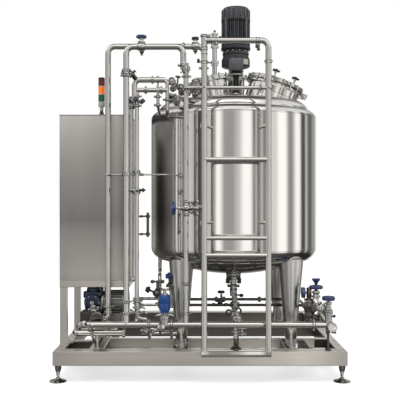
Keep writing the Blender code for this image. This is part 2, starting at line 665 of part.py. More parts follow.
def make_drop_pipe():
    """Down in front of the tank to the header, with a valve at eye height."""
    plane = FRONT_PLANE
    low = at(DROP_PIPE_X, plane, header_top())
    collars = [(at(DROP_PIPE_X, plane, z), COLLAR_HALF, 0.030) for z in (0.545, 0.80, 1.36, 1.48)]
    collars.append((at(DROP_PIPE_X, plane, DROP_PIPE_TOP - 0.011), COLLAR_HALF, 0.034))
    collars.append((at(DROP_PIPE_X, plane, HANDRAIL_Z), 0.018, 0.027))
    run = tube("drop_pipe", with_collars([low, at(DROP_PIPE_X, plane, DROP_PIPE_TOP)], 0.021, collars))
    body = at(-0.030, plane, 1.421)
    combine(run, rod("drop_valve", body, at(-0.198 + GAP, plane, 1.421), 0.018), "UNION")


def make_loop_pipe():
    """Riser from the back of the header with two cross runs and a drop on to the tank's shoulder."""
    plane = MIDDLE_PLANE
    low = HEADER_Z
    corners = [at(LOOP_PIPE_X, FRONT_PLANE + HEADER_RADIUS + GAP, low), at(LOOP_PIPE_X, plane, low),
               at(LOOP_PIPE_X, plane, 2.380)]
    collars = [(at(LOOP_PIPE_X, plane, z), COLLAR_HALF, 0.027) for z in (0.66, 1.55, 1.70)]
    run = tube("loop_pipe", with_collars(bent_route(corners, 0.036), 0.0185, collars))
    elbow = [at(LOOP_ELBOW_X, plane, 2.300), at(LOOP_ELBOW_X, plane, LOOP_PIPE_TOP),
             at(LOOP_DROP_X - 0.020, plane, LOOP_PIPE_TOP)]
    combine(run, pipe("loop_elbow", elbow, 0.0228, 0.045), "UNION")
    drop = [at(LOOP_DROP_X - 0.060, plane, LOOP_PIPE_TOP), at(LOOP_DROP_X, plane, LOOP_PIPE_TOP),
            at(LOOP_DROP_X, plane, LOOP_END_Z), at(LOOP_DROP_X, 0.45, LOOP_END_Z)]
    collars = [(at(LOOP_DROP_X, plane, 2.32), COLLAR_HALF, 0.026)]
    combine(run, tube("loop_drop", with_collars(bent_route(drop, 0.040), 0.0155, collars)), "UNION")
    cross = 2.400
    bar = rod("loop_cross", at(LOOP_PIPE_X, plane, cross), at(LOOP_DROP_X, plane, cross), 0.0190)
    combine(run, bar, "UNION")
    combine(run, tank_cutter("loop_trim"), "DIFFERENCE")

    # A second riser stands behind, between two unions on stubs of the first.
    x, behind, half, wide = RISER_PIPE_X, RISER_PIPE_BEHIND, 0.025, 0.022
    for label, z in (("low", RISER_PIPE_LOW - half), ("high", RISER_PIPE_HIGH + half)):
        stub = rod(f"riser_stub_{label}", at(LOOP_PIPE_X, plane, z), at(x, behind, z), 0.0165)
        combine(run, stub, "UNION")
        union = rod(f"riser_union_{label}", at(x, behind, z - half), at(x, behind, z + half), wide)
        combine(run, union, "UNION")
    rod("riser_pipe", at(x, behind, RISER_PIPE_LOW + GAP), at(x, behind, RISER_PIPE_HIGH - GAP), 0.0175)


def make_header():
    """Front manifold on short posts, with the actuated valve's body and the end valve's body."""
    plane = FRONT_PLANE
    corners = [at(HEADER_LEFT, 0.145 - GAP, HEADER_Z), at(HEADER_LEFT, plane, HEADER_Z),
               at(HEADER_RIGHT + 0.008, plane, HEADER_Z)]
    marks = (-0.419, -0.234, 0.02, 0.56, 0.93)
    collars = [(at(x, plane, HEADER_Z), 0.034) for x in marks]
    header = pipe("header_pipe", corners, HEADER_RADIUS, 0.060, collars)
    for index, x in enumerate((-0.70, -0.40, 0.30, 0.88)):
        foot, head = at(x, plane + 0.01, SKID_TOP + GAP), at(x, plane + 0.01, HEADER_Z + 0.004)
        combine(header, rod(f"header_post_{index}", foot, head, 0.014), "UNION")
    actuator_x, body_top, cap_z, disc_z = -0.2907, 0.566, 0.452, 0.456
    bodies = {
        "actuated_body": (at(actuator_x, plane, HEADER_Z - 0.042), at(actuator_x, plane, body_top), 0.032),
        "round_cap": (at(-0.316, -0.004, cap_z), at(-0.316, plane + 0.004, cap_z), 0.034),
        "end_valve_body": (at(HEADER_RIGHT, plane, HEADER_Z - 0.045),
                           at(HEADER_RIGHT, plane, END_WHEEL_Z - 0.020 - GAP), END_VALVE_RADIUS),
        "end_disc": (at(1.074, -0.020, disc_z), at(1.074, plane + 0.005, disc_z), 0.040),
    }
    for name, (start, end, radius) in bodies.items():
        combine(header, rod(name, start, end, radius), "UNION")

    base, neck, drum, top = body_top + GAP, 0.036, 0.047, 0.712
    profile = [(0.0, base), (neck, base), (neck, base + 0.019), (drum, base + 0.024), (drum, top - 0.012),
               (drum - 0.007, top), (0.0, top)]
    turned("valve_actuator", profile, "actuator_blue", upright_at(actuator_x, plane), 20)


def make_lower_pipe():
    """Short capped run under the pump, on its own post."""
    plane = 0.170
    corners = [at(-1.056, 0.34, LOWER_PIPE_Z), at(-1.056, plane, LOWER_PIPE_Z),
               at(-0.625, plane, LOWER_PIPE_Z)]
    collars = [(at(-0.640, plane, LOWER_PIPE_Z), 0.033), (at(-0.90, plane, LOWER_PIPE_Z), 0.033)]
    run = pipe("lower_pipe", corners, 0.025, 0.060, collars)
    post = rod("lower_post", at(-0.86, plane, SKID_TOP + GAP), at(-0.86, plane, LOWER_PIPE_Z), 0.014)
    combine(run, post, "UNION")


def make_outlet():
    """Outlet valve stack under the dish, with its line to the header and two cross lines."""
    x, behind = TANK_X, TANK_BEHIND
    corners = [at(x, behind, 0.90), at(x, behind, HEADER_Z),
               at(x, FRONT_PLANE + HEADER_RADIUS + GAP, HEADER_Z)]
    rings = [(0.797, 0.014, 0.070), (0.745, 0.012, 0.052), (0.700, 0.016, 0.066), (0.653, 0.010, 0.056),
             (0.590, COLLAR_HALF, 0.044)]
    collars = [(at(x, behind, height), half, wide) for height, half, wide in rings]
    collars.append((at(x, 0.40, HEADER_Z), COLLAR_HALF, 0.036))
    stack = tube("outlet_stack", with_collars(bent_route(corners, 0.060), 0.028, collars))
    combine(stack, tank_cutter("outlet_trim"), "DIFFERENCE")
    for index, height in enumerate((0.567, 0.514)):
        line = rod(f"cross_line_{index}", at(-0.30, behind, height), at(0.64, behind, height), 0.0135)
        combine(stack, line, "UNION")
    stem_x = 0.196
    stem = rod("outlet_stem", at(stem_x, behind, 0.567), at(stem_x, behind, 0.622 - GAP), 0.010)
    combine(stack, stem, "UNION")


def make_right_valves():
    """Valve group behind the header's right end."""
    plane = VALVE_PLANE
    valve_back = FRONT_PLANE + END_VALVE_RADIUS * FLAT_SHARE + GAP
    corners = [at(HEADER_RIGHT, valve_back, 0.540), at(HEADER_RIGHT, plane, 0.540),
               at(UPPER_VALVE_X, plane, 0.640), at(UPPER_VALVE_X, plane, 0.738 - GAP)]
    points = bent_route(corners[:3], 0.045)[:-1] + bent_route(corners[1:], 0.060)[1:]
    collars = [(at(UPPER_VALVE_X, plane, 0.712), 0.014, 0.036)]
    group = tube("right_valve_group", with_collars(points, 0.024, collars))
    body_x = UPPER_VALVE_X - 0.059
    branch = rod("side_branch", at(UPPER_VALVE_X, plane, 0.655), at(body_x - 0.035, plane, 0.600), 0.019)
    combine(group, branch, "UNION")
    combine(group, rod("side_body", at(body_x, plane, 0.560), at(body_x, plane, 0.740), 0.020), "UNION")
    stem_end = at(SIDE_WHEEL_X + 0.018 + GAP, plane, SIDE_WHEEL_Z)
    combine(group, rod("side_stem", at(body_x, plane, SIDE_WHEEL_Z), stem_end, 0.010), "UNION")


def make_pump():
    low, front = 0.45, 0.300
    box("pump_gearbox", at(-1.006, front, low), at(-0.844, 0.480, 0.730), "pump_navy", 0.012)
    motor_z, motor_behind, motor_radius = 0.600, 0.390, 0.110
    start = at(-0.844 + GAP, motor_behind, motor_z)
    length = 0.226
    profile = [(0.0, 0.0), (0.098, 0.0), (0.098, 0.014), (motor_radius, 0.020),
               (motor_radius, length - 0.020), (motor_radius - 0.012, length), (0.0, length)]
    motor = turned("pump_motor", profile, "pump_grey", aimed(start, Vector((1, 0, 0))), 24)
    foot = box("pump_motor_foot", at(-0.790, 0.330, low + GAP), at(-0.680, 0.450, 0.540), "pump_grey")
    combine(motor, foot, "UNION")
    pump = box("pump_head", at(-1.000, 0.160, 0.410), at(-0.826, front - GAP, 0.560), "brushed_steel", 0.016)
    combine(pump, rod("pump_cover", at(-0.945, 0.145, 0.487), at(-0.945, 0.20, 0.487), 0.066), "UNION")
    base = box("pump_base", at(-1.000, 0.310, 0.430), at(-0.650, 0.470, low - GAP), "brushed_steel")
    stand = box("pump_pedestal", at(-0.915, 0.375, SKID_TOP + GAP), at(-0.805, 0.460, 0.440), "brushed_steel")
    combine(base, stand, "UNION")


def handwheel(name, centre, axis, radius, material, thickness=0.026):
    """A dished handwheel with a full rim, about its own axis; its hub faces the valve."""
    half = thickness / 2
    hub = radius * 0.30
    profile = [(0.0, -half), (hub, -half), (radius * 0.78, -0.003), (radius * 0.90, -half * 0.8),
               (radius, 0.0), (radius * 0.90, half * 0.8), (radius * 0.78, 0.003), (hub, half), (0.0, half)]
    return turned(name, profile, material, aimed(centre, axis), 16)


def make_handwheels():
    up = Vector((0, 0, 1))
    leftwards = Vector((-1, 0, 0))
    handwheel("return_handwheel", at(-0.481, FRONT_PLANE, 2.826), up, 0.043, "blue_plastic")
    handwheel("feed_handwheel", at(-0.040, REAR_PLANE, 2.851), up, 0.032, "black_plastic")
    handwheel("drop_handwheel", at(-0.215, FRONT_PLANE, 1.421), leftwards, 0.055, "blue_plastic", 0.034)
    handwheel("end_handwheel", at(HEADER_RIGHT, FRONT_PLANE, END_WHEEL_Z), up, 0.054, "blue_plastic", 0.040)
    handwheel("upper_handwheel", at(UPPER_VALVE_X, VALVE_PLANE, 0.755), up, 0.059, "blue_plastic", 0.034)
    side = at(SIDE_WHEEL_X, VALVE_PLANE, SIDE_WHEEL_Z)
    handwheel("side_handwheel", side, leftwards, 0.049, "blue_plastic", 0.036)
    handwheel("outlet_handwheel", at(0.196, TANK_BEHIND, 0.635), up, 0.035, "black_plastic")


def build():
    clear_scene()
    make_skid()
    make_feet()
    make_cabinet()
    make_tank()
    make_legs()
    make_manway()
    make_left_port()
    make_drive()
    make_shaft()
    make_ladder()
    make_feed_pipe()
    make_return_pipe()
    make_drop_pipe()
    make_loop_pipe()
    make_header()
    make_lower_pipe()
    make_outlet()
    make_right_valves()
    make_pump()
    make_handwheels()


build()
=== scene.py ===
"""Finishes of a skid-mounted mixing tank: skid, vessel, drive, ladder, cabinet, pump and pipework."""
import math

import bmesh
import bpy
from bpy.props import FloatProperty, FloatVectorProperty, PointerProperty
from mathutils import Matrix, Vector


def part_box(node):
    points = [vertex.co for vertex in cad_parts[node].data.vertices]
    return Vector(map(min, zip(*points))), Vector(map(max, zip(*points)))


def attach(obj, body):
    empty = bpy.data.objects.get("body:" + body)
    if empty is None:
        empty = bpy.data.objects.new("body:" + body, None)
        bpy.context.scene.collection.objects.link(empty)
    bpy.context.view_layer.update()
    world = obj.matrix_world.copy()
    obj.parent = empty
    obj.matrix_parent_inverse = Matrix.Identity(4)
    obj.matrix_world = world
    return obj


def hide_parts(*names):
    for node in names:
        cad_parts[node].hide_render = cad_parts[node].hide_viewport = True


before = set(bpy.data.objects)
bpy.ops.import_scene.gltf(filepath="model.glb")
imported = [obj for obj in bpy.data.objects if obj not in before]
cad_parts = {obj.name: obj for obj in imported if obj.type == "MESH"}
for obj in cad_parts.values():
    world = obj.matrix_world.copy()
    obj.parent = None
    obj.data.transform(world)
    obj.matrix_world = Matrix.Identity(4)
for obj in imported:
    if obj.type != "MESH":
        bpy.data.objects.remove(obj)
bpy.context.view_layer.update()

bl_info = {
    "name": "Mixing Tank Finisher",
    "version": (1, 0, 0),
    "blender": (4, 5, 0),
    "location": "View3D > Sidebar > Mixing Tank",
    "description": "Dresses the frame of a skid-mounted mixing tank with its fittings and finishes",
    "category": "Object",
}

# The machine's own frame of places. FRONT_Y is the front face of the skid's front beam.
FRONT_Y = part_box("skid_front_beam")[0].y
SKID_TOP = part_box("skid_front_beam")[1].z
HALF_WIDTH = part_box("skid_front_beam")[1].x
TANK_LOW, TANK_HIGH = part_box("tank_jacket")
TANK_X = (TANK_LOW.x + TANK_HIGH.x) / 2
TANK_BEHIND = (TANK_LOW.y + TANK_HIGH.y) / 2 - FRONT_Y
JACKET_RADIUS = 0.762
VESSEL_RADIUS = 0.684
HEAD_RADIUS = 0.692
COLLAR_RADIUS = 0.7
WALL_TOP = 2.223
WALL_BOTTOM = 1.06
TOP_ROUND = 0.062
BOTTOM_ROUND = 0.108
CROWN_RADIUS = 2.6
KNUCKLE_RADIUS = 0.08
HEAD_RIM_Z = WALL_TOP + TOP_ROUND
HEAD_SHEET = 0.008
DISH_LOWEST = 0.812
LEG_SPREAD = 0.47

MANWAY_X, MANWAY_BEHIND, MANWAY_SEAL_Z = 0.678, 0.66, 2.515
MANWAY_TILT = math.radians(18.5)
MANWAY_BORE, MANWAY_NECK, MANWAY_FLANGE = 0.225, 0.233, 0.258
HINGE_R = MANWAY_FLANGE + 0.032
PORT_X, PORT_BEHIND, PORT_TOP_Z = 0.062, 0.64, 2.58
PORT_TILT = math.radians(-15.0)
PORT_RADIUS, PORT_RIM = 0.165, 0.187
RISER_X, RISER_TOP_Z = 0.131, 3.0

DRIVE_X = 0.33
LANTERN_BASE_Z, LANTERN_TOP_Z = 2.452, 2.66
GEARBOX_TOP_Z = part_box("agitator_gearbox")[1].z
MOTOR_TOP_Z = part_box("agitator_motor")[1].z
IMPELLER_Z = 1.08

LADDER_AHEAD = 0.0665
LADDER_LEFT_X, LADDER_RIGHT_X = 0.034, 0.549
LADDER_RADIUS = 0.024
LADDER_FOOT_Z, LADDER_TOP_Z, LADDER_BEND = 0.254, 2.768, 0.06
STILE_TOP_Z = 2.815
HANDRAIL_Z = 2.389

CABINET_LOW, CABINET_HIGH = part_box("control_cabinet")
LAMP_X, LAMP_BEHIND = -0.851, 0.35

FRONT_PLANE, MIDDLE_PLANE, VALVE_PLANE, REAR_PLANE = 0.05, 0.12, 0.2, 0.215
HEADER_Z, HEADER_RADIUS = 0.465, 0.026
HEADER_LEFT, HEADER_RIGHT = -0.93, 1.053
FEED_X, FEED_TOP, FEED_DROP_X = -0.776, 2.783, 0.034
RETURN_X, RETURN_TOP, RETURN_DROP_X = -0.605, 2.744, -0.1378
DROP_X, DROP_TOP = -0.1157, 2.56
LOOP_X, LOOP_TOP, LOOP_DROP_X, LOOP_END_Z, LOOP_CROSS_Z = -0.526, 2.484, -0.272, 2.205, 2.4
LOOP_ELBOW_X = -0.545
RISER_PIPE_X, RISER_BEHIND, RISER_LOW, RISER_HIGH = -0.573, 0.16, 0.855, 2.285
LOWER_PIPE_Z = 0.375
UPPER_VALVE_X, SIDE_WHEEL_X, SIDE_WHEEL_Z = 0.976, 0.868, 0.709
ACTUATOR_X = -0.2907
BEND = 0.057
WALL_STEPS = 128
PIPE_SIDES = 28
BEND_STEPS = 8

UP = Vector((0, 0, 1))
DOWN = Vector((0, 0, -1))
LEFT = Vector((-1, 0, 0))
RIGHT = Vector((1, 0, 0))
AHEAD = Vector((0, -1, 0))
BACK = Vector((0, 1, 0))


def at(x, behind, z):
    """A point given by its distance behind the skid's front face."""
    return Vector((x, FRONT_Y + behind, z))


class TankSizes(bpy.types.PropertyGroup):
    """Sizes of the loose fittings."""
    clamp_flange: FloatProperty(
        name="Clamp flange", description="How far a pipe clamp stands out from its pipe",
        default=0.0105, min=0.004, max=0.03, unit="LENGTH")
    clamp_width: FloatProperty(
        name="Clamp width", description="Length of a pipe clamp along its pipe",
        default=0.026, min=0.01, max=0.06, unit="LENGTH")
    bolt: FloatProperty(
        name="Bolt head", description="Size across the flats of the common bolt heads",
        default=0.017, min=0.006, max=0.04, unit="LENGTH")
    camera_height: FloatProperty(
        name="Camera height", description="Height of the camera over the floor",
        default=1.48, min=0.2, max=6.0, unit="LENGTH")
    camera_distance: FloatProperty(
        name="Camera distance", description="How far the camera stands in front of the skid",
        default=5.5, min=2.0, max=20.0, unit="LENGTH")


class TankColours(bpy.types.PropertyGroup):
    """Colours of the finishes."""
    polished: FloatVectorProperty(
        name="Polished steel", description="Wall and heads of the tank", subtype="COLOR",
        size=3, min=0, max=1, default=(0.78, 0.77, 0.755))
    tube: FloatVectorProperty(
        name="Tube steel", description="Pipes, ladder and fittings", subtype="COLOR",
        size=3, min=0, max=1, default=(0.64, 0.63, 0.61))
    brushed: FloatVectorProperty(
        name="Brushed steel", description="Skid, stand and ladder", subtype="COLOR",
        size=3, min=0, max=1, default=(0.66, 0.635, 0.6))
    motor: FloatVectorProperty(
        name="Drive enamel", description="Agitator motor and gearbox", subtype="COLOR",
        size=3, min=0, max=1, default=(0.022, 0.024, 0.028))
    wheel: FloatVectorProperty(
        name="Wheel blue", description="Moulded valve wheels", subtype="COLOR",
        size=3, min=0, max=1, default=(0.01, 0.03, 0.115))
    actuator: FloatVectorProperty(
        name="Actuator blue", description="Actuator on the header", subtype="COLOR",
        size=3, min=0, max=1, default=(0.001, 0.045, 0.22))
    pump: FloatVectorProperty(
        name="Pump navy", description="Gear unit of the pump", subtype="COLOR",
        size=3, min=0, max=1, default=(0.004, 0.012, 0.042))
    black: FloatVectorProperty(
        name="Black plastic", description="Knobs and gaskets", subtype="COLOR",
        size=3, min=0, max=1, default=(0.012, 0.012, 0.013))


def sizes():
    return bpy.context.scene.tank_sizes


def colours():
    return bpy.context.scene.tank_colours


# Shader groups, each built once.

def new_group(name, inputs, outputs):
    """An empty node group with its sockets, and its input and output nodes."""
    group = bpy.data.node_groups.new(name, "ShaderNodeTree")
    for label, kind, default in inputs:
        socket = group.interface.new_socket(name=label, in_out="INPUT", socket_type=kind)
        if default is not None:
            socket.default_value = default
    for label, kind in outputs:
        group.interface.new_socket(name=label, in_out="OUTPUT", socket_type=kind)
    return group, group.nodes.new("NodeGroupInput"), group.nodes.new("NodeGroupOutput")


def wire(start, output, end, label):
    """Lead an output of one node to an input of another."""
    start.id_data.links.new(start.outputs[output], end.inputs[label])


def add_node(tree, kind, values=(), **settings):
    made = tree.nodes.new(kind)
    for label, value in settings.items():
        setattr(made, label, value)
    for label, value in dict(values).items():
        made.inputs[label].default_value = value
    return made


def add_ramp(tree, stops, value, low=-1.0, high=1.0):
    """A ramp of greys over a value between two ends."""
    ramp = add_node(tree, "ShaderNodeValToRGB")
    spread = add_node(tree, "ShaderNodeMapRange", {"From Min": low, "From Max": high})
    tree.links.new(value, spread.inputs["Value"])
    tree.links.new(spread.outputs["Result"], ramp.inputs["Fac"])
    for index, (spot, level) in enumerate(stops):
        place = (spot - low) / (high - low)
        stop = ramp.color_ramp.elements[index] if index < 2 else ramp.color_ramp.elements.new(place)
        stop.position = place
        stop.color = (level, level * 0.985, level * 0.96, 1.0)
    return ramp.outputs["Color"]


def grain_group():
    """Fine lines of a brushed sheet: a mask that wanders, and a bumped normal."""
    name = "Brushed grain"
    if name in bpy.data.node_groups:
        return bpy.data.node_groups[name]
    group, source, result = new_group(
        name,
        [("Vector", "NodeSocketVector", None), ("Fineness", "NodeSocketFloat", 260.0),
         ("Depth", "NodeSocketFloat", 0.1)],
        [("Mask", "NodeSocketFloat"), ("Normal", "NodeSocketVector")])
    noise = add_node(group, "ShaderNodeTexNoise", {"Detail": 4.0, "Roughness": 0.65})
    bump = add_node(group, "ShaderNodeBump", {"Distance": 0.0006})
    wire(source, "Vector", noise, "Vector")
    wire(source, "Fineness", noise, "Scale")
    wire(source, "Depth", bump, "Strength")
    wire(noise, "Fac", bump, "Height")
    wire(noise, "Fac", result, "Mask")
    wire(bump, "Normal", result, "Normal")
    return group


def tone_group():
    """Slow changes of tone over a surface, as sheets and castings have."""
    name = "Surface tone"
    if name in bpy.data.node_groups:
        return bpy.data.node_groups[name]
    group, source, result = new_group(
        name,
        [("Vector", "NodeSocketVector", None), ("Colour", "NodeSocketColor", (0.6, 0.6, 0.6, 1.0)),
         ("Scale", "NodeSocketFloat", 3.0), ("Spread", "NodeSocketFloat", 0.12)],
        [("Colour", "NodeSocketColor"), ("Mask", "NodeSocketFloat")])
    noise = add_node(group, "ShaderNodeTexNoise", {"Detail": 3.0, "Roughness": 0.55})
    ranged = add_node(group, "ShaderNodeMapRange", {"From Min": 0.3, "From Max": 0.7, "To Max": 1.0})
    low = add_node(group, "ShaderNodeMath", {0: 1.0}, operation="SUBTRACT")
    scaled = add_node(group, "ShaderNodeVectorMath", operation="SCALE")
    wire(source, "Vector", noise, "Vector")
    wire(source, "Scale", noise, "Scale")
    wire(source, "Spread", low, 1)
    wire(noise, "Fac", ranged, "Value")
    wire(low, "Value", ranged, "To Min")
    wire(source, "Colour", scaled, 0)
    wire(ranged, "Result", scaled, "Scale")
    wire(scaled, "Vector", result, "Colour")
    wire(noise, "Fac", result, "Mask")
    return group


def marks_group():
    """Roughness that wanders with handling marks and wiped streaks."""
    name = "Handling marks"
    if name in bpy.data.node_groups:
        return bpy.data.node_groups[name]
    group, source, result = new_group(
        name,
        [("Vector", "NodeSocketVector", None), ("Low", "NodeSocketFloat", 0.1),
         ("High", "NodeSocketFloat", 0.2), ("Scale", "NodeSocketFloat", 6.0)],
        [("Roughness", "NodeSocketFloat")])
    noise = add_node(group, "ShaderNodeTexNoise", {"Detail": 5.0, "Roughness": 0.6, "Distortion": 0.4})
    ranged = add_node(group, "ShaderNodeMapRange", {"From Min": 0.35, "From Max": 0.68})
    wire(source, "Vector", noise, "Vector")
    wire(source, "Scale", noise, "Scale")
    wire(noise, "Fac", ranged, "Value")
    wire(source, "Low", ranged, "To Min")
    wire(source, "High", ranged, "To Max")
    wire(ranged, "Result", result, "Roughness")
    return group


def place_group(tree, group, values):
    made = tree.nodes.new("ShaderNodeGroup")
    made.node_tree = group
    for label, value in values.items():
        made.inputs[label].default_value = value
    return made


def finish(name, colour, rough, metallic=1.0, stretch=(1, 1, 1), grain=(260.0, 0.1), spread=0.12,
           scales=(3.0, 6.0), coat=0.0, band=None, axis="Z", span=(0.0, 3.0)):
    """A material of the shared groups: toned colour, wandering roughness and a fine grain.

    The grain is given by its fineness and depth, the scales are those of the tone and of the marks."""
    if name in bpy.data.materials:
        return bpy.data.materials[name]
    made = bpy.data.materials.new(name)
    made.use_nodes = True
    tree = made.node_tree
    shader = tree.nodes["Principled BSDF"]
    shader.inputs["Metallic"].default_value = metallic
    shader.inputs["Coat Weight"].default_value = coat
    place = add_node(tree, "ShaderNodeTexCoord")
    mapping = add_node(tree, "ShaderNodeMapping")
    mapping.inputs["Scale"].default_value = stretch
    lines = place_group(tree, grain_group(), {"Fineness": grain[0], "Depth": grain[1]})
    tone = place_group(tree, tone_group(), {"Colour": (*colour, 1.0), "Scale": scales[0], "Spread": spread})
    marks = place_group(tree, marks_group(), {"Low": rough[0], "High": rough[1], "Scale": scales[1]})
    link = tree.links.new
    wire(place, "Object", mapping, "Vector")
    for group in (lines, tone, marks):
        wire(mapping, "Vector", group, "Vector")
    toned = tone.outputs["Colour"]
    # A band paints light and shade: it scales the colour by levels along one axis.
    if band:
        split = add_node(tree, "ShaderNodeSeparateXYZ")
        painted_light = add_node(tree, "ShaderNodeVectorMath", operation="MULTIPLY")
        wire(place, "Object", split, "Vector")
        link(toned, painted_light.inputs[0])
        link(add_ramp(tree, band, split.outputs[axis], *span), painted_light.inputs[1])
        toned = painted_light.outputs["Vector"]
    link(toned, shader.inputs["Base Color"])
    wire(marks, "Roughness", shader, "Roughness")
    wire(lines, "Normal", shader, "Normal")
    return made


def vessel_steel():
    """Mirror-polished sheet, wiped up and down."""
    return finish("vessel_steel", colours().polished, (0.07, 0.13), stretch=(1, 1, 0.08), grain=(60.0, 0.02),
                  spread=0.05, scales=(5.0, 9.0))


def head_steel():
    """Rolled heads and rounds, a shade darker than the wall."""
    return finish("head_steel", colours().tube, (0.06, 0.12), stretch=(1, 1, 0.3), grain=(60.0, 0.02),
                  spread=0.1, scales=(3.0, 9.0))


def tube_steel():
    return finish("tube_steel", colours().tube, (0.06, 0.12), grain=(120.0, 0.02), spread=0.08,
                  scales=(4.0, 14.0))


def fitting_steel():
    """Cast and machined fittings, with more tone than tube."""
    return finish("fitting_steel", colours().tube, (0.06, 0.16), grain=(200.0, 0.05), spread=0.5,
                  scales=(34.0, 40.0))


def beam_steel():
    """Sheet brushed along the skid, with painted light that makes it lightest on the right."""
    # Painted light and shade along the skid: these levels scale the colour across X.
    band = ((-1.16, 0.98), (-0.9, 1.16), (-0.6, 1.15), (-0.16, 1.08), (0.25, 1.12), (0.45, 1.32),
            (0.65, 1.36), (0.82, 1.5), (0.98, 1.32), (1.1, 1.08), (1.17, 0.94))
    return finish("beam_steel", colours().brushed, (0.3, 0.42), stretch=(0.05, 1, 1), grain=(420.0, 0.22),
                  spread=0.16, scales=(7.0, 10.0), band=band, axis="X", span=(-HALF_WIDTH, HALF_WIDTH))


def upright_steel():
    """Sheet brushed up and down, for posts and the stand."""
    return finish("upright_steel", colours().brushed, (0.28, 0.4), stretch=(1, 1, 0.05), grain=(420.0, 0.2),
                  spread=0.14, scales=(7.0, 10.0))


def cabinet_steel():
    """Sheet brushed up and down, with painted light and shade that make it darkest at the middle of its height.
    """
    # Painted reflection and shade by height: these levels scale the colour up Z.
    band = ((0.87, 1.25), (1.0, 0.95), (1.32, 0.42), (1.65, 0.48), (1.9, 0.54), (2.15, 0.58))
    return finish("cabinet_sheet", (0.8, 0.79, 0.775), (0.34, 0.44), stretch=(1, 1, 0.04),
                  grain=(520.0, 0.12), spread=0.12, scales=(3.0, 4.0), band=band)


def mill_steel():
    """Steel darkened with painted shade, for the inner sides of the skid."""
    return finish("mill_steel", (0.2, 0.19, 0.175), (0.34, 0.5), stretch=(0.1, 1, 1), grain=(300.0, 0.2),
                  spread=0.35, scales=(9.0, 12.0))


def pit_paint():
    # Near-black paint that stands for shade: painted shade.
    return finish("pit_paint", (0.016, 0.015, 0.014), (0.5, 0.7), metallic=0.0, grain=(200.0, 0.1),
                  spread=0.4)


def rail_enamel():
    return finish("rail_enamel", (0.06, 0.064, 0.072), (0.3, 0.42), metallic=0.0, grain=(700.0, 0.2),
                  spread=0.3, scales=(20.0, 25.0), coat=0.2)


def leg_steel():
    return finish("leg_steel", colours().tube, (0.25, 0.33), stretch=(1, 1, 0.1), grain=(200.0, 0.06),
                  spread=0.14, scales=(6.0, 10.0))


def motor_enamel():
    return finish("motor_enamel", colours().motor, (0.36, 0.52), metallic=0.0, grain=(700.0, 0.25),
                  spread=0.25, scales=(20.0, 25.0), coat=0.05)


def pump_enamel():
    return finish("pump_enamel", colours().pump, (0.28, 0.42), metallic=0.0, grain=(500.0, 0.2), spread=0.3,
                  scales=(25.0, 25.0), coat=0.1)


def actuator_enamel():
    return finish("actuator_enamel", colours().actuator, (0.3, 0.42), metallic=0.0, grain=(600.0, 0.15),
                  spread=0.2, scales=(25.0, 25.0), coat=0.05)


def cast_grey():
    return finish("cast_grey", (0.3, 0.295, 0.285), (0.3, 0.45), metallic=0.85, grain=(400.0, 0.25),
                  spread=0.2, scales=(20.0, 20.0))


def wheel_plastic():
    return finish("wheel_plastic", colours().wheel, (0.26, 0.4), metallic=0.0, grain=(900.0, 0.12),
                  spread=0.25, scales=(40.0, 40.0), coat=0.3)


def black_plastic():
    return finish("black_plastic", colours().black, (0.32, 0.5), metallic=0.0, grain=(900.0, 0.15),
                  spread=0.3, scales=(40.0, 40.0))


def dark_steel():
    """Dark bead-blasted steel for fittings; for those in the machine's shade, the dark colour is painted shade.
    """
    return finish("dark_steel", (0.17, 0.16, 0.15), (0.1, 0.26), metallic=1.0, grain=(300.0, 0.12),
                  spread=0.3, scales=(40.0, 40.0))


def lens_plastic(name, colour):
    return finish(name, colour, (0.18, 0.28), metallic=0.0, grain=(300.0, 0.05), spread=0.12,
                  scales=(30.0, 30.0), coat=0.1)


# Shapes. A part is a mesh being modelled; a piece is a finished object of the scene.

def turned(profile, steps=32, closed=False):
    """Spin a profile of (radius, height) points about Z. A closed profile is a ring of its own."""
    part = bmesh.new()
    rim = [part.verts.new((radius, 0.0, height)) for radius, height in profile]
    edges = [part.edges.new(pair) for pair in zip(rim, rim[1:])]
    if closed:
        edges.append(part.edges.new((rim[-1], rim[0])))
    bmesh.ops.spin(part, geom=rim + edges, cent=(0, 0, 0), axis=(0, 0, 1), angle=math.tau, steps=steps,
                   use_merge=True)
    bmesh.ops.remove_doubles(part, verts=part.verts, dist=1e-6)
    return part


def block(low, high, bevel=0.0, segments=2):
    """A square-cut block between two corners, with rounded edges where asked."""
    part = bmesh.new()
    low, high = Vector(low), Vector(high)
    bmesh.ops.create_cube(part, size=1.0)
    bmesh.ops.scale(part, vec=high - low, verts=part.verts)
    bmesh.ops.translate(part, vec=(low + high) / 2, verts=part.verts)
    if bevel:
        bmesh.ops.bevel(part, geom=part.edges[:], offset=bevel, segments=segments, profile=0.5,
                        affect="EDGES", material=-1)
    return part


def plate_part(corners, thickness):
    """A flat plate: an outline, extruded along its thickness."""
    part = bmesh.new()
    face = part.faces.new([part.verts.new(corner) for corner in corners])
    grown = bmesh.ops.extrude_face_region(part, geom=[face])
    moved = [item for item in grown["geom"] if isinstance(item, bmesh.types.BMVert)]
    bmesh.ops.translate(part, vec=thickness, verts=moved)
    return part


def hexagon(across, height, base=0.0):
    """A bolt head or nut across its flats, on its own Z axis."""
    part = bmesh.new()
    radius = across / 2 / math.cos(math.pi / 6)
    bmesh.ops.create_cone(part, cap_ends=True, segments=6, radius1=radius, radius2=radius * 0.94,
                          depth=height, matrix=shift(0, 0, base + height / 2))
    return part


def ball(radius, flatten=1.0):
    part = bmesh.new()
    bmesh.ops.create_uvsphere(part, u_segments=20, v_segments=12, radius=radius)
    bmesh.ops.scale(part, vec=(1, 1, flatten), verts=part.verts)
    return part


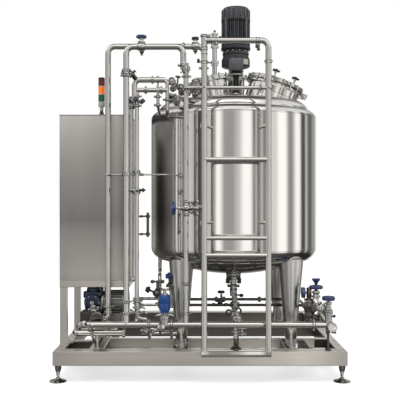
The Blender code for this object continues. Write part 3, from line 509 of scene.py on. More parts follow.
def aimed(point, direction, side=None):
    """A matrix that puts the local Z axis along a direction, and local X towards a side."""
    along = Vector(direction).normalized()
    if side is None:
        return Matrix.Translation(point) @ along.to_track_quat("Z", "Y").to_matrix().to_4x4()
    across = (Vector(side) - along * along.dot(Vector(side))).normalized()
    turn = Matrix((across, along.cross(across), along)).transposed().to_4x4()
    return Matrix.Translation(point) @ turn


def shift(x, y, z):
    return Matrix.Translation((x, y, z))


def upright_at(x, behind, z=0.0):
    return Matrix.Translation(at(x, behind, z))


def rolled(degrees, axis):
    return Matrix.Rotation(math.radians(degrees), 4, axis)


def turns(count, start=0.0):
    """Turns about Z that stand evenly round, from a start in degrees."""
    return [rolled(start + 360 * index / count, "Z") for index in range(count)]


def arc(centre_r, centre_z, radius, start, end, steps):
    """Points of a round in the (radius, height) plane, with angles in degrees from the +r axis."""
    angles = [math.radians(start + (end - start) * index / steps) for index in range(steps + 1)]
    return [(centre_r + radius * math.cos(turn), centre_z + radius * math.sin(turn)) for turn in angles]


def drawn(part, rim, reach):
    """Extrude an open rim along a straight run and return the new rim."""
    result = bmesh.ops.extrude_edge_only(part, edges=rim)
    verts = [item for item in result["geom"] if isinstance(item, bmesh.types.BMVert)]
    bmesh.ops.translate(part, vec=reach, verts=verts)
    return [item for item in result["geom"]
            if isinstance(item, bmesh.types.BMEdge) and all(vert in verts for vert in item.verts)]


def piped(corners, radius, bend=BEND, sides=PIPE_SIDES):
    """A round bar along its corners: each straight run is drawn out, and each bend is spun."""
    part = bmesh.new()
    corners = [Vector(corner) for corner in corners]
    bmesh.ops.create_circle(part, cap_ends=False, segments=sides, radius=radius,
                            matrix=aimed(corners[0], corners[1] - corners[0]))
    first = rim = part.edges[:]
    here = corners[0]
    for before, corner, after in zip(corners, corners[1:], corners[2:]):
        into = (corner - before).normalized()
        out = (after - corner).normalized()
        turn = into.angle(out)
        reach = bend * math.tan(turn / 2)
        stop = corner - into * reach
        rim = drawn(part, rim, stop - here)
        verts = list({vert for edge in rim for vert in edge.verts})
        centre = stop + (out - into * into.dot(out)).normalized() * bend
        result = bmesh.ops.spin(part, geom=verts + rim, cent=centre, axis=into.cross(out), angle=turn,
                                steps=BEND_STEPS)
        rim = [item for item in result["geom_last"] if isinstance(item, bmesh.types.BMEdge)]
        here = corner + out * reach
    rim = drawn(part, rim, corners[-1] - here)
    bmesh.ops.edgeloop_fill(part, edges=first)
    bmesh.ops.edgeloop_fill(part, edges=rim)
    return part


def collect(whole, part, place=None):
    """Move a part into place, face it outwards and add it to a larger mesh."""
    if place is not None:
        bmesh.ops.transform(part, matrix=place, verts=part.verts)
    bmesh.ops.recalc_face_normals(part, faces=part.faces)
    mesh = bpy.data.meshes.new("part")
    part.to_mesh(mesh)
    part.free()
    whole.from_mesh(mesh)
    bpy.data.meshes.remove(mesh)
    return whole


def spun(whole, place, profile, steps=32):
    """Add a solid spun from a profile, which is led in to the axis at both ends."""
    ends = [[(0, height)] if radius else [] for radius, height in (profile[0], profile[-1])]
    return collect(whole, turned(ends[0] + profile + ends[1], steps), place)


def looped(whole, place, profile, steps):
    """Add a ring spun from a closed profile."""
    return collect(whole, turned(profile, steps, closed=True), place)


def solid(place, profile, steps=32):
    """A spun solid as a mesh of its own."""
    return spun(bmesh.new(), place, profile, steps)


def slab(whole, low, high, bevel=0.0, segments=2):
    """Add a block to a mesh."""
    return collect(whole, block(low, high, bevel, segments))


def pipe(whole, radius, *corners, bend=BEND, sides=PIPE_SIDES):
    """Add a round bar through corners, each (x, behind, z)."""
    return collect(whole, piped([at(*corner) for corner in corners], radius, bend, sides))


def bead(whole, place, radius, flatten=1.0):
    """Add a ball at (x, behind, z)."""
    return collect(whole, ball(radius, flatten), upright_at(*place))


def nut(whole, place, direction, across, height, base=0.0):
    """Add a hexagon at (x, behind, z)."""
    return collect(whole, hexagon(across, height, base), aimed(at(*place), direction))


def piece(name, part, material=None, body="machine", stands_for=(), angle=38.0):
    """Make a mesh an object of the scene that rides on its body. Plain fittings need no finish named."""
    mesh = bpy.data.meshes.new(name)
    part.to_mesh(mesh)
    part.free()
    mesh.materials.append(material or fitting_steel())
    mesh.shade_smooth()
    mesh.set_sharp_from_angle(angle=math.radians(angle))
    made = bpy.data.objects.new(name, mesh)
    bpy.context.scene.collection.objects.link(made)
    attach(made, body)
    if stands_for:
        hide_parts(*stands_for)
    return made


def single(part, place=None):
    """One part as a mesh of its own, placed and faced outwards."""
    return collect(bmesh.new(), part, place)


def cut(target, cutters):
    """Take cutters away from a piece for good, and remove them."""
    for tool in cutters:
        modifier = target.modifiers.new(tool.name, "BOOLEAN")
        modifier.operation = "DIFFERENCE"
        modifier.solver = "EXACT"
        modifier.object = tool
    graph = bpy.context.evaluated_depsgraph_get()
    trimmed = bpy.data.meshes.new_from_object(target.evaluated_get(graph))
    target.modifiers.clear()
    target.data = trimmed
    for tool in cutters:
        bpy.data.objects.remove(tool, do_unlink=True)
    trimmed.shade_smooth()
    trimmed.set_sharp_from_angle(angle=math.radians(38))
    return target


def cutter(part, place):
    mesh = bpy.data.meshes.new("cutter")
    whole = single(part, place)
    whole.to_mesh(mesh)
    whole.free()
    made = bpy.data.objects.new("cutter", mesh)
    bpy.context.scene.collection.objects.link(made)
    return made


def dress(nodes, material):
    """Give nodes of the frame a finish in place."""
    for node in nodes:
        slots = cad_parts[node].data.materials
        slots.clear()
        slots.append(material)


# Small fittings, each on its own Z axis.

def clamp_part(radius, wing=True):
    """A pipe clamp: two ferrules, the band round them, its lugs and the wing nut on the +X side."""
    stand, half = sizes().clamp_flange, sizes().clamp_width / 2
    wide = radius + stand
    groove = radius + 0.003
    ring = [(radius - 0.002, -half), (groove, -half), (wide - 0.002, -half * 0.45), (wide, -half * 0.38),
            (wide, half * 0.38), (wide - 0.002, half * 0.45), (groove, half), (radius - 0.002, half)]
    whole = single(turned(ring, 28, closed=True))
    if not wing:
        return whole
    lug = 0.011
    for side in (-1, 1):
        low = (wide - 0.004, side * 0.004 - 0.0025, -lug * 0.6)
        high = (wide + lug, side * 0.004 + 0.0025, lug * 0.6)
        slab(whole, low, high, 0.0015, 1)
    hinge = (-wide - 0.001, 0.0, -lug * 0.6)
    spun(whole, Matrix.Translation(hinge), [(0.005, 0.0), (0.005, lug * 1.2)], 12)
    stem = aimed((wide + lug * 0.6, -0.02, 0), BACK)
    spun(whole, stem, [(0.0028, 0.0), (0.0028, 0.044)], 10)
    wing_nut = aimed((wide + lug * 0.6, 0.008, 0), BACK)
    spun(whole, wing_nut, [(0.0065, 0.0), (0.0045, 0.01)], 12)
    for side in (-1, 1):
        low = (wide + lug * 0.6 - 0.0016, 0.012, side * 0.009 - 0.006)
        high = (wide + lug * 0.6 + 0.0016, 0.024, side * 0.009 + 0.006)
        slab(whole, low, high, 0.0014, 1)
    return whole


def clamp(whole, radius, place, direction, side=None, wing=True):
    """Add a pipe clamp at (x, behind, z)."""
    return collect(whole, clamp_part(radius, wing), aimed(at(*place), direction, side))


def knob_part(radius, height, lobes=5):
    """A lobed knob with a domed top."""
    part = bmesh.new()
    bmesh.ops.create_cone(part, cap_ends=True, segments=lobes * 6, radius1=radius, radius2=radius,
                          depth=height, matrix=shift(0, 0, height / 2))
    for vert in part.verts:
        swing = math.cos(lobes * math.atan2(vert.co.y, vert.co.x))
        vert.co.xy *= 0.86 + 0.14 * swing
    bmesh.ops.bevel(part, geom=[edge for edge in part.edges if edge.calc_face_angle(0) > 1.0],
                    offset=height * 0.22, segments=2, profile=0.5, affect="EDGES", material=-1)
    return part


def bolt_part(size, stand=None):
    """A hexagon head on a washer."""
    stand = size * 0.6 if stand is None else stand
    whole = solid(None, [(size * 0.72, 0.0), (size * 0.72, size * 0.12)], 18)
    return collect(whole, hexagon(size, stand, size * 0.12))


def bolts(whole, size, count, radius, place, height=0.0, start=0.0, stand=None):
    """Add bolts round a circle."""
    for turn in turns(count, start):
        collect(whole, bolt_part(size, stand), place @ turn @ shift(radius, 0, height))
    return whole


def bonnet_part(length, radius):
    """A valve bonnet from the pipe outwards: flange, bolts, neck, gland and stem."""
    profile = [(radius * 1.5, 0.0), (radius * 1.5, length * 0.14), (radius * 1.2, length * 0.16),
               (radius * 1.5, length * 0.18), (radius * 1.5, length * 0.32), (radius * 0.95, length * 0.38),
               (radius * 0.8, length * 0.62), (radius * 0.95, length * 0.66), (radius * 0.95, length * 0.8),
               (radius * 0.45, length * 0.84), (radius * 0.45, length)]
    whole = solid(None, profile, 28)
    head = radius * 0.36
    return bolts(whole, head, 6, radius * 1.22, Matrix.Identity(4), length * 0.32)


def wheel_part(radius, thickness, lobes=8):
    """A moulded handwheel: scalloped rim, dished web with windows between its spokes, and a capped hub."""
    half = thickness / 2
    rim_half = half * 0.8
    ring = [(radius * 0.74, -rim_half * 0.5), (radius * 0.8, -rim_half), (radius * 0.94, -rim_half),
            (radius, -rim_half * 0.4), (radius, rim_half * 0.4), (radius * 0.94, rim_half),
            (radius * 0.8, rim_half), (radius * 0.74, rim_half * 0.5)]
    part = turned(ring, lobes * 6, closed=True)
    for vert in part.verts:
        reach = vert.co.xy.length
        swing = math.cos(lobes * math.atan2(vert.co.y, vert.co.x))
        if reach > radius * 0.85:
            vert.co.xy *= 1.0 - 0.05 * (1 - swing)
    whole = single(part)
    hub = [(radius * 0.26, -half), (radius * 0.3, -half * 0.4), (radius * 0.3, half * 0.6),
           (radius * 0.22, half), (radius * 0.12, half), (radius * 0.1, half * 0.8)]
    spun(whole, None, hub, 24)
    for turn in turns(lobes // 2 + 1):
        spoke = block((radius * 0.2, -radius * 0.09, -half * 0.35),
                      (radius * 0.8, radius * 0.09, half * 0.35), radius * 0.03, 1)
        collect(whole, spoke, turn)
    return whole


# Panels of the studio that polished metal mirrors: from and to in degrees round from the front, and level.
LEFT_PANELS = ((-180, -168, 0.75), (-160, -140, 0.03), (-128, -92, 0.04), (-87, -77, 0.9), (-71, -59, 0.62),
               (-54, -47, 0.06), (-42, -31, 0.6), (-28, -28, 0.1), (-25, -21, 1.15), (-15, -3, 0.37),
               (0, 0, 0.52))
RIGHT_PANELS = ((0, 0, 0.52), (5, 5, 0.65), (11, 20, 1.15), (25, 25, 0.06), (29, 31, 0.9), (39, 41, 0.2),
                (45, 56, 0.78), (61, 71, 1.2), (77, 83, 0.32), (91, 97, 1.15), (103, 109, 0.08),
                (114, 114, 0.62), (120, 128, 0.14), (136, 144, 0.36), (157, 180, 0.95))
# The same overhead and underfoot, by how far a mirrored ray points to the front: 1 is ahead, -1 is behind.
CEILING = ((-0.9, 0.2), (-0.5, 0.1), (-0.1, 0.12), (0.2, 0.45), (0.45, 1.8), (0.75, 1.7), (0.9, 0.5),
           (1.0, 0.35))
GROUND = ((-0.9, 0.03), (-0.4, 0.03), (0.1, 0.06), (0.6, 0.12), (0.95, 0.24))


def stage_world():
    """Studio surround: plain white to the eye, with panels and flags that only reflections see."""
    world = bpy.data.worlds.new("studio")
    bpy.context.scene.world = world
    world.use_nodes = True
    tree = world.node_tree
    tree.nodes.clear()
    link = tree.links.new
    place = add_node(tree, "ShaderNodeTexCoord")
    split = add_node(tree, "ShaderNodeSeparateXYZ")
    wire(place, "Generated", split, "Vector")
    ahead = add_node(tree, "ShaderNodeMath", {1: -1.0}, operation="MULTIPLY")
    wire(split, "Y", ahead, 0)
    bearing = add_node(tree, "ShaderNodeMath", operation="ARCTAN2")
    wire(split, "X", bearing, 0)
    wire(ahead, "Value", bearing, 1)
    turn = add_node(tree, "ShaderNodeMath", {1: math.pi}, operation="DIVIDE")
    wire(bearing, "Value", turn, 0)
    halves = []
    for panels, low, high in ((LEFT_PANELS, -1.0, 0.0), (RIGHT_PANELS, 0.0, 1.0)):
        stops = [(edge / 180, level) for start, end, level in panels for edge in sorted({start, end})]
        halves.append(add_ramp(tree, stops, turn.outputs["Value"], low, high))
    on_right = add_node(tree, "ShaderNodeMath", {1: 0.0}, operation="GREATER_THAN")
    wire(turn, "Value", on_right, 0)
    panels = add_node(tree, "ShaderNodeMix", data_type="RGBA")
    wire(on_right, "Value", panels, "Factor")
    link(halves[0], panels.inputs["A"])
    link(halves[1], panels.inputs["B"])
    ground = add_ramp(tree, GROUND, ahead.outputs["Value"])

    # Overhead, the strip above the machine passes into plain light towards both sides.
    aside = add_node(tree, "ShaderNodeMath", operation="ABSOLUTE")
    wire(split, "X", aside, 0)
    wide = add_node(tree, "ShaderNodeMapRange", {"From Min": 0.35, "From Max": 0.7})
    wire(aside, "Value", wide, "Value")
    overhead = add_node(tree, "ShaderNodeMix", {"B": (1.0, 1.0, 1.0, 1.0)}, data_type="RGBA")
    wire(wide, "Result", overhead, "Factor")
    link(add_ramp(tree, CEILING, ahead.outputs["Value"]), overhead.inputs["A"])
    ceiling = overhead.outputs["Result"]

    # The panels stand between the ground and the ceiling, with soft edges.
    mixed = panels.outputs["Result"]
    for over, low, high in ((ceiling, 0.24, 0.42), (ground, -0.2, -0.34)):
        share = add_node(tree, "ShaderNodeMapRange", {"From Min": low, "From Max": high})
        wire(split, "Z", share, "Value")
        blend = add_node(tree, "ShaderNodeMix", data_type="RGBA")
        wire(share, "Result", blend, "Factor")
        link(mixed, blend.inputs["A"])
        link(over, blend.inputs["B"])
        mixed = blend.outputs["Result"]
    mirrored = add_node(tree, "ShaderNodeBackground", {"Strength": 1.1})
    link(mixed, mirrored.inputs["Color"])
    plain = add_node(tree, "ShaderNodeBackground", {"Strength": 1.0, "Color": (1.0, 1.0, 1.0, 1.0)})
    choose = add_node(tree, "ShaderNodeMixShader")
    ray = add_node(tree, "ShaderNodeLightPath")
    wire(ray, "Is Glossy Ray", choose, "Fac")
    wire(plain, "Background", choose, 1)
    wire(mirrored, "Background", choose, 2)
    output = add_node(tree, "ShaderNodeOutputWorld")
    wire(choose, "Shader", output, "Surface")


def make_stage(scene):
    floor_mesh = bmesh.new()
    bmesh.ops.create_grid(floor_mesh, x_segments=1, y_segments=1, size=60.0)
    mesh = bpy.data.meshes.new("floor")
    floor_mesh.to_mesh(mesh)
    floor_mesh.free()
    floor = bpy.data.objects.new("floor", mesh)
    scene.collection.objects.link(floor)
    paper = bpy.data.materials.new("floor_paper")
    paper.use_nodes = True
    shader = paper.node_tree.nodes["Principled BSDF"]
    shader.inputs["Base Color"].default_value = (0.5, 0.5, 0.5, 1.0)
    shader.inputs["Emission Color"].default_value = (1.0, 1.0, 1.0, 1.0)
    shader.inputs["Emission Strength"].default_value = 0.6
    shader.inputs["Roughness"].default_value = 1.0
    shader.inputs["Specular IOR Level"].default_value = 0.0
    mesh.materials.append(paper)
    floor.visible_glossy = False
    floor.visible_diffuse = False

    stage_world()
    for name, place, size, energy in (("ceiling_light", (0.0, -1.5, 6.0), 6.0, 260.0),
                                      ("left_light", (-5.5, -4.5, 3.5), 3.0, 60.0),
                                      ("right_light", (5.5, -4.5, 3.5), 3.0, 60.0)):
        lamp = bpy.data.lights.new(name, "AREA")
        lamp.size = size
        lamp.energy = energy
        holder = bpy.data.objects.new(name, lamp)
        scene.collection.objects.link(holder)
        holder.location = place
        holder.rotation_euler = (Vector(place) - Vector((0, 0, 1.0))).to_track_quat("Z", "Y").to_euler()
        holder.visible_glossy = False

    camera = bpy.data.cameras.new("camera")
    camera.lens = 60.93
    camera.sensor_width = 36.0
    camera.shift_x = -0.00225
    camera.shift_y = 0.0025
    holder = bpy.data.objects.new("camera", camera)
    scene.collection.objects.link(holder)
    holder.location = (0.0065, FRONT_Y - sizes().camera_distance, sizes().camera_height)
    holder.rotation_euler = (math.radians(90), 0, 0)
    scene.camera = holder
    scene.view_settings.view_transform = "Standard"


class TANK_OT_stage(bpy.types.Operator):
    """Set out the floor, the studio light and the camera"""
    bl_idname = "tank.stage"
    bl_label = "Stage"

    def execute(self, context):
        make_stage(context.scene)
        return {"FINISHED"}


def make_skid():
    along = ("skid_front_beam", "skid_rear_beam", "skid_bay_beam", "skid_middle_beam", "skid_rear_leg_beam")
    across = ("skid_left_beam", "skid_right_beam", "skid_cabinet_beam", "skid_left_leg_beam",
              "skid_right_leg_beam")
    dress(along + across, beam_steel())

    # Dark linings of painted shade on the inner sides, bright folded lips, and near-black plates of painted shade
    # behind the front beam.
    shade_linings, lips, shade_plates = bmesh.new(), bmesh.new(), bmesh.new()
    front_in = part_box("skid_front_beam")[1].y + 0.001
    for node in ("skid_bay_beam", "skid_rear_beam", "skid_rear_leg_beam"):
        low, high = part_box(node)
        slab(shade_linings, (low.x + 0.002, low.y - 0.004, low.z + 0.002),
             (high.x - 0.002, low.y - 0.0005, high.z - 0.006))
    for node in ("skid_left_beam", "skid_cabinet_beam", "skid_right_leg_beam", "skid_left_leg_beam"):
        low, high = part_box(node)
        slab(shade_linings, (high.x + 0.0005, front_in, low.z + 0.002),
             (high.x + 0.004, high.y - 0.002, high.z - 0.006))
    for node in ("skid_right_beam", "skid_cabinet_beam", "skid_right_leg_beam", "skid_left_leg_beam"):
        low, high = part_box(node)
        slab(shade_linings, (low.x - 0.004, front_in, low.z + 0.002),
             (low.x - 0.0005, high.y - 0.002, high.z - 0.006))
    low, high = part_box("skid_middle_beam")
    lip_z = SKID_TOP - 0.082
    # A near-black plate of painted shade on the middle beam's front, behind the front beam.
    slab(shade_plates, (high.x - 0.11, low.y - 0.004, low.z + 0.002), (high.x - 0.002, low.y - 0.001, high.z - 0.006))
    for left, right in ((low.x + 0.01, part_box("skid_left_leg_beam")[0].x - 0.01),
                        (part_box("skid_left_leg_beam")[1].x + 0.01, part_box("skid_right_leg_beam")[0].x - 0.01),
                        (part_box("skid_right_leg_beam")[1].x + 0.01, high.x - 0.01)):
        collect(lips, piped([(left, low.y - 0.012, lip_z), (right, low.y - 0.012, lip_z)], 0.009, sides=14))
    for node in ("skid_middle_beam", "skid_bay_beam"):
        low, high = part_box(node)
        collect(lips, piped([(low.x + 0.004, low.y + 0.003, SKID_TOP),
                             (high.x - 0.004, low.y + 0.003, SKID_TOP)], 0.004, sides=12))
    for x in (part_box("skid_right_beam")[0].x + 0.004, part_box("skid_left_beam")[1].x - 0.004,
              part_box("skid_cabinet_beam")[0].x + 0.003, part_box("skid_cabinet_beam")[1].x - 0.003):
        collect(lips, piped([(x, front_in + 0.004, SKID_TOP), at(x, 0.4, SKID_TOP)], 0.0035, sides=12))
    for node, sign in (("skid_left_leg_beam", -1), ("skid_right_leg_beam", 1)):
        low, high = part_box(node)
        middle = (low.x + high.x) / 2
        # Near-black strips of painted shade on the leg beams' tops, and beside the right one.
        slab(shade_plates, (low.x + 0.004, front_in + 0.01, SKID_TOP - 0.001),
             (high.x - 0.004, high.y - 0.01, SKID_TOP + 0.002))
        if sign > 0:
            slab(shade_plates, (high.x + 0.006, front_in + 0.02, SKID_TOP - 0.016),
                 (high.x + 0.08, high.y - 0.01, SKID_TOP - 0.012))
        corners = [at(middle + dx, behind, SKID_TOP + 0.0022) for dx, behind in (
            (-0.03, 0.12), (0.03, 0.12), (0.055, 0.3), (-0.055, 0.3))]
        collect(lips, plate_part(corners, (0, 0, 0.003)))
    piece("skid_linings", shade_linings, mill_steel())
    piece("skid_pits", shade_plates, pit_paint())
    piece("skid_lips", lips, tube_steel())

    # A bracket on the cabinet's cross beam: two square arms that spread upwards.
    brackets = bmesh.new()
    for side in (-1, 1):
        pipe(brackets, 0.009, (-0.867 + side * 0.007, 0.22, SKID_TOP),
             (-0.867 + side * 0.042, 0.22, SKID_TOP + 0.072), sides=4)
    piece("skid_brackets", brackets, rail_enamel())

    feet = ("foot_front_left", "foot_front_right", "foot_rear_left", "foot_rear_right")
    for node in feet:
        low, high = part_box(node)
        middle = (low + high) / 2
        radius = (high.x - low.x) / 2
        profile = [(radius - 0.001, 0.0), (radius, 0.002), (radius, 0.006), (radius - 0.005, 0.01),
                   (0.034, 0.017), (0.024, 0.024), (0.017, 0.027), (0.017, 0.034), (0.01, 0.037),
                   (0.01, 0.062), (0.0155, 0.064), (0.0155, 0.078), (0.02, 0.082), (0.026, 0.106),
                   (0.028, high.z)]
        place = shift(middle.x, middle.y, 0)
        foot = solid(place, profile, 40)
        collect(foot, hexagon(0.03, 0.012, 0.048), place)
        piece("level_" + node, foot, stands_for=[node])


class TANK_OT_skid(bpy.types.Operator):
    """Finish the beams and add lips, gussets and the four levelling feet"""
    bl_idname = "tank.skid"
    bl_label = "Skid and feet"

    def execute(self, context):
        make_skid()
        return {"FINISHED"}


def make_cabinet():
    posts = [f"stand_post_{row}_{side}" for row in ("front", "rear") for side in ("left", "right")]
    dress(posts, upright_steel())
    dress(["stand_top_frame"], beam_steel())
    low, high = CABINET_LOW, CABINET_HIGH
    piece("cabinet_shell", single(block(low, high, 0.004)), cabinet_steel(),
          stands_for=["control_cabinet"])

    # Rain lip round the top, and two doors on the rear with their hinges and locks.
    trim = bmesh.new()
    slab(trim, (low.x - 0.004, low.y - 0.004, high.z - 0.004), (high.x + 0.004, high.y, high.z + 0.002),
         0.002)
    middle = (low.x + high.x) / 2
    edge, gap = 0.022, 0.003
    for left, right in ((low.x + edge, middle - gap), (middle + gap, high.x - edge)):
        slab(trim, (left, high.y - 0.004, low.z + edge), (right, high.y + 0.006, high.z - edge), 0.003)
    piece("cabinet_doors", trim, cabinet_steel())
    locks = bmesh.new()
    for x in (middle - 0.035, middle + 0.035):
        for z in (low.z + 0.35, high.z - 0.35):
            place = aimed((x, high.y + 0.005, z), BACK)
            spun(locks, place, [(0.013, 0), (0.013, 0.003), (0.008, 0.004)], 20)
    for x in (low.x + edge + 0.004, high.x - edge - 0.004):
        for z in (low.z + 0.18, (low.z + high.z) / 2, high.z - 0.18):
            hinge = [Vector((x, high.y + 0.004, z - 0.03)), Vector((x, high.y + 0.004, z + 0.03))]
            collect(locks, piped(hinge, 0.005, sides=12))
    piece("cabinet_locks", locks)

    # Foot gussets of the stand's posts.
    gussets = bmesh.new()
    for node in posts:
        box_low, box_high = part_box(node)
        x = box_high.x - 0.012
        y = box_low.y + 0.02
        corners = [(x, y, SKID_TOP + 0.008), (x + 0.055, y, SKID_TOP + 0.008), (x, y, SKID_TOP + 0.075)]
        collect(gussets, plate_part(corners, (0, 0.006, 0)))
        for dx, dy in ((0.0, -0.022), (0.052, 0.085)):
            place = shift(box_low.x + 0.006 + dx, box_low.y + 0.03 + dy * 0.4, SKID_TOP + 0.006)
            collect(gussets, bolt_part(0.01), place)
    piece("stand_gussets", gussets, upright_steel())

    # Stack light: three lens rings between a cap and a base.
    place = upright_at(LAMP_X, LAMP_BEHIND)
    foot_z, base_z, top_z = high.z, 2.292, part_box("stack_light")[1].z
    radius = 0.0285
    levels = [2.3365, 2.399, 2.468, 2.5345]
    black = solid(place, [(0.029, foot_z), (0.029, foot_z + 0.01), (0.02, foot_z + 0.018),
                          (0.012, foot_z + 0.045)], 32)
    cap = [(radius, levels[3]), (radius, top_z - 0.004), (radius - 0.006, top_z)]
    spun(black, place, cap, 32)
    piece("lamp_cap", black, black_plastic(), stands_for=["stack_light"])
    pale = solid(place, [(0.0155, foot_z + 0.045), (0.0155, base_z - 0.004), (radius - 0.004, base_z),
                         (radius, base_z + 0.006), (radius, levels[0] - 0.003)], 32)
    for z in levels[1:3]:
        band = [(radius, z - 0.003), (radius, z + 0.003)]
        spun(pale, place, band, 32)
    piece("lamp_base", pale, lens_plastic("lamp_pale", (0.33, 0.335, 0.325)))
    lenses = {"green": (0.0, 0.085, 0.03), "orange": (0.9, 0.17, 0.008), "red": (0.1, 0.002, 0.008)}
    for (name, colour), low_z, high_z in zip(lenses.items(), levels, levels[1:]):
        count = 7
        profile = [(0.0, low_z)]
        for index in range(count + 1):
            z = low_z + 0.003 + (high_z - low_z - 0.006) * index / count
            profile.append((radius - 0.0012 * (index % 2), z))
        profile.append((0.0, high_z))
        lens = single(turned(profile, 36), place)
        piece(f"lamp_lens_{name}", lens, lens_plastic("lamp_" + name, colour), angle=60)


class TANK_OT_cabinet(bpy.types.Operator):
    """Finish the control cabinet, its stand and its stack light"""
    bl_idname = "tank.cabinet"
    bl_label = "Cabinet and lamp"

    def execute(self, context):
        make_cabinet()
        return {"FINISHED"}


def vessel_outline(grow=0.0):
    """Outer profile of the whole vessel in stretches, from the top's middle to the dish's lowest point."""
    knuckle_r = HEAD_RADIUS - KNUCKLE_RADIUS
    join = math.acos(knuckle_r / (CROWN_RADIUS - KNUCKLE_RADIUS))
    crown_z = HEAD_RIM_Z - (CROWN_RADIUS - KNUCKLE_RADIUS) * math.sin(join)
    crown = arc(0.0, crown_z, CROWN_RADIUS + grow, 90.0, math.degrees(join), 14)
    knuckle = arc(knuckle_r, HEAD_RIM_Z, KNUCKLE_RADIUS + grow, math.degrees(join), 0.0, 10)
    shoulder = arc(COLLAR_RADIUS, WALL_TOP, TOP_ROUND + grow, 90.0, 0.0, 12)
    round_r = JACKET_RADIUS - BOTTOM_ROUND
    lower_end = -math.degrees(math.acos((COLLAR_RADIUS - round_r) / BOTTOM_ROUND))
    lower = arc(round_r, WALL_BOTTOM, BOTTOM_ROUND + grow, 0.0, lower_end, 14)
    rise = WALL_BOTTOM - math.sqrt(BOTTOM_ROUND ** 2 - (COLLAR_RADIUS - round_r) ** 2) - DISH_LOWEST
    dish_r = (HEAD_RADIUS ** 2 + rise ** 2) / (2 * rise)
    reach = math.degrees(math.asin(HEAD_RADIUS / dish_r))
    dish = arc(0.0, DISH_LOWEST + dish_r, dish_r + grow, reach - 90.0, -90.0, 16)
    return crown, knuckle, shoulder, lower, dish


def vessel_cutter():
    """The whole vessel as a solid, for trimming what is welded on to it."""
    crown, knuckle, shoulder, lower, dish = vessel_outline(0.0004)
    profile = crown + knuckle + shoulder + lower + dish
    profile[0] = (0.0, profile[0][1])
    profile[-1] = (0.0, profile[-1][1])
    return cutter(turned(profile, 72), upright_at(TANK_X, TANK_BEHIND))


def crown_top():
    return vessel_outline()[0][0][1]


def manway_place():
    """The manway's own frame: its Z axis is the neck's, and its origin is on the seal."""
    return upright_at(MANWAY_X, MANWAY_BEHIND, MANWAY_SEAL_Z) @ Matrix.Rotation(MANWAY_TILT, 4, "Y")


def make_vessel():
    place = upright_at(TANK_X, TANK_BEHIND)
    crown, knuckle, shoulder, lower, dish = vessel_outline()
    wall = shoulder + lower + [(VESSEL_RADIUS, lower[-1][1]), (VESSEL_RADIUS, shoulder[0][1])]
    shell = single(turned(wall, WALL_STEPS, closed=True), place)
    wall = piece("vessel_wall", shell, vessel_steel(), stands_for=["tank_jacket"])
    wall.data.materials.append(head_steel())
    for face in wall.data.polygons:
        face.material_index = int(not WALL_BOTTOM < face.center.z < WALL_TOP)

    top = crown[0][1]
    outer = [(0.0, top)] + crown[1:] + knuckle[1:]
    inner = [(radius - HEAD_SHEET, height - HEAD_SHEET * 0.2) for radius, height in knuckle[:0:-1]]
    inner += [(radius, height - HEAD_SHEET) for radius, height in crown[:0:-1]] + [(0.0, top - HEAD_SHEET)]
    inner[0] = (inner[0][0], HEAD_RIM_Z)
    dome = piece("vessel_top", single(turned(outer + inner, WALL_STEPS), place), head_steel(),
                 stands_for=["tank_top_head"])
    bore = turned([(0.0, -0.4), (MANWAY_BORE, -0.4), (MANWAY_BORE, 0.05), (0.0, 0.05)], 64)
    shaft = turned([(0.0, top - 0.1), (0.034, top - 0.1), (0.034, top + 0.1), (0.0, top + 0.1)], 24)
    cut(dome, [cutter(bore, manway_place()), cutter(shaft, upright_at(DRIVE_X, TANK_BEHIND))])

    rim = dish[0][1] - 0.0003
    under = [(0.0, dish[-1][1])] + [(radius, min(height, rim)) for radius, height in dish[-2::-1]]
    shrink = 1 - HEAD_SHEET / HEAD_RADIUS
    inside = [(radius * shrink, min(height + HEAD_SHEET, rim)) for radius, height in dish[:-1]]
    inside.append((0.0, dish[-1][1] + HEAD_SHEET))
    bottom = single(turned(under + inside, WALL_STEPS), place)
    piece("vessel_bottom", bottom, head_steel(), stands_for=["tank_bottom_head"])

    # Weld beads: at the head's rim, on the crown, at the wall's foot and where the dish starts.
    welds = bmesh.new()
    for radius, height, wide in ((HEAD_RADIUS + 0.002, HEAD_RIM_Z + 0.001, 0.0045),
                                 (crown[-1][0], crown[-1][1] + 0.0005, 0.003),
                                 (JACKET_RADIUS, WALL_TOP - 0.004, 0.0012),
                                 (JACKET_RADIUS, WALL_BOTTOM, 0.0012),
                                 (COLLAR_RADIUS - 0.004, dish[0][1] - 0.001, 0.006)):
        weld = arc(radius, height, wide, 0.0, 360.0, 8)[:-1]
        looped(welds, place, weld, WALL_STEPS)
    piece("vessel_welds", welds, fitting_steel())

    make_legs()


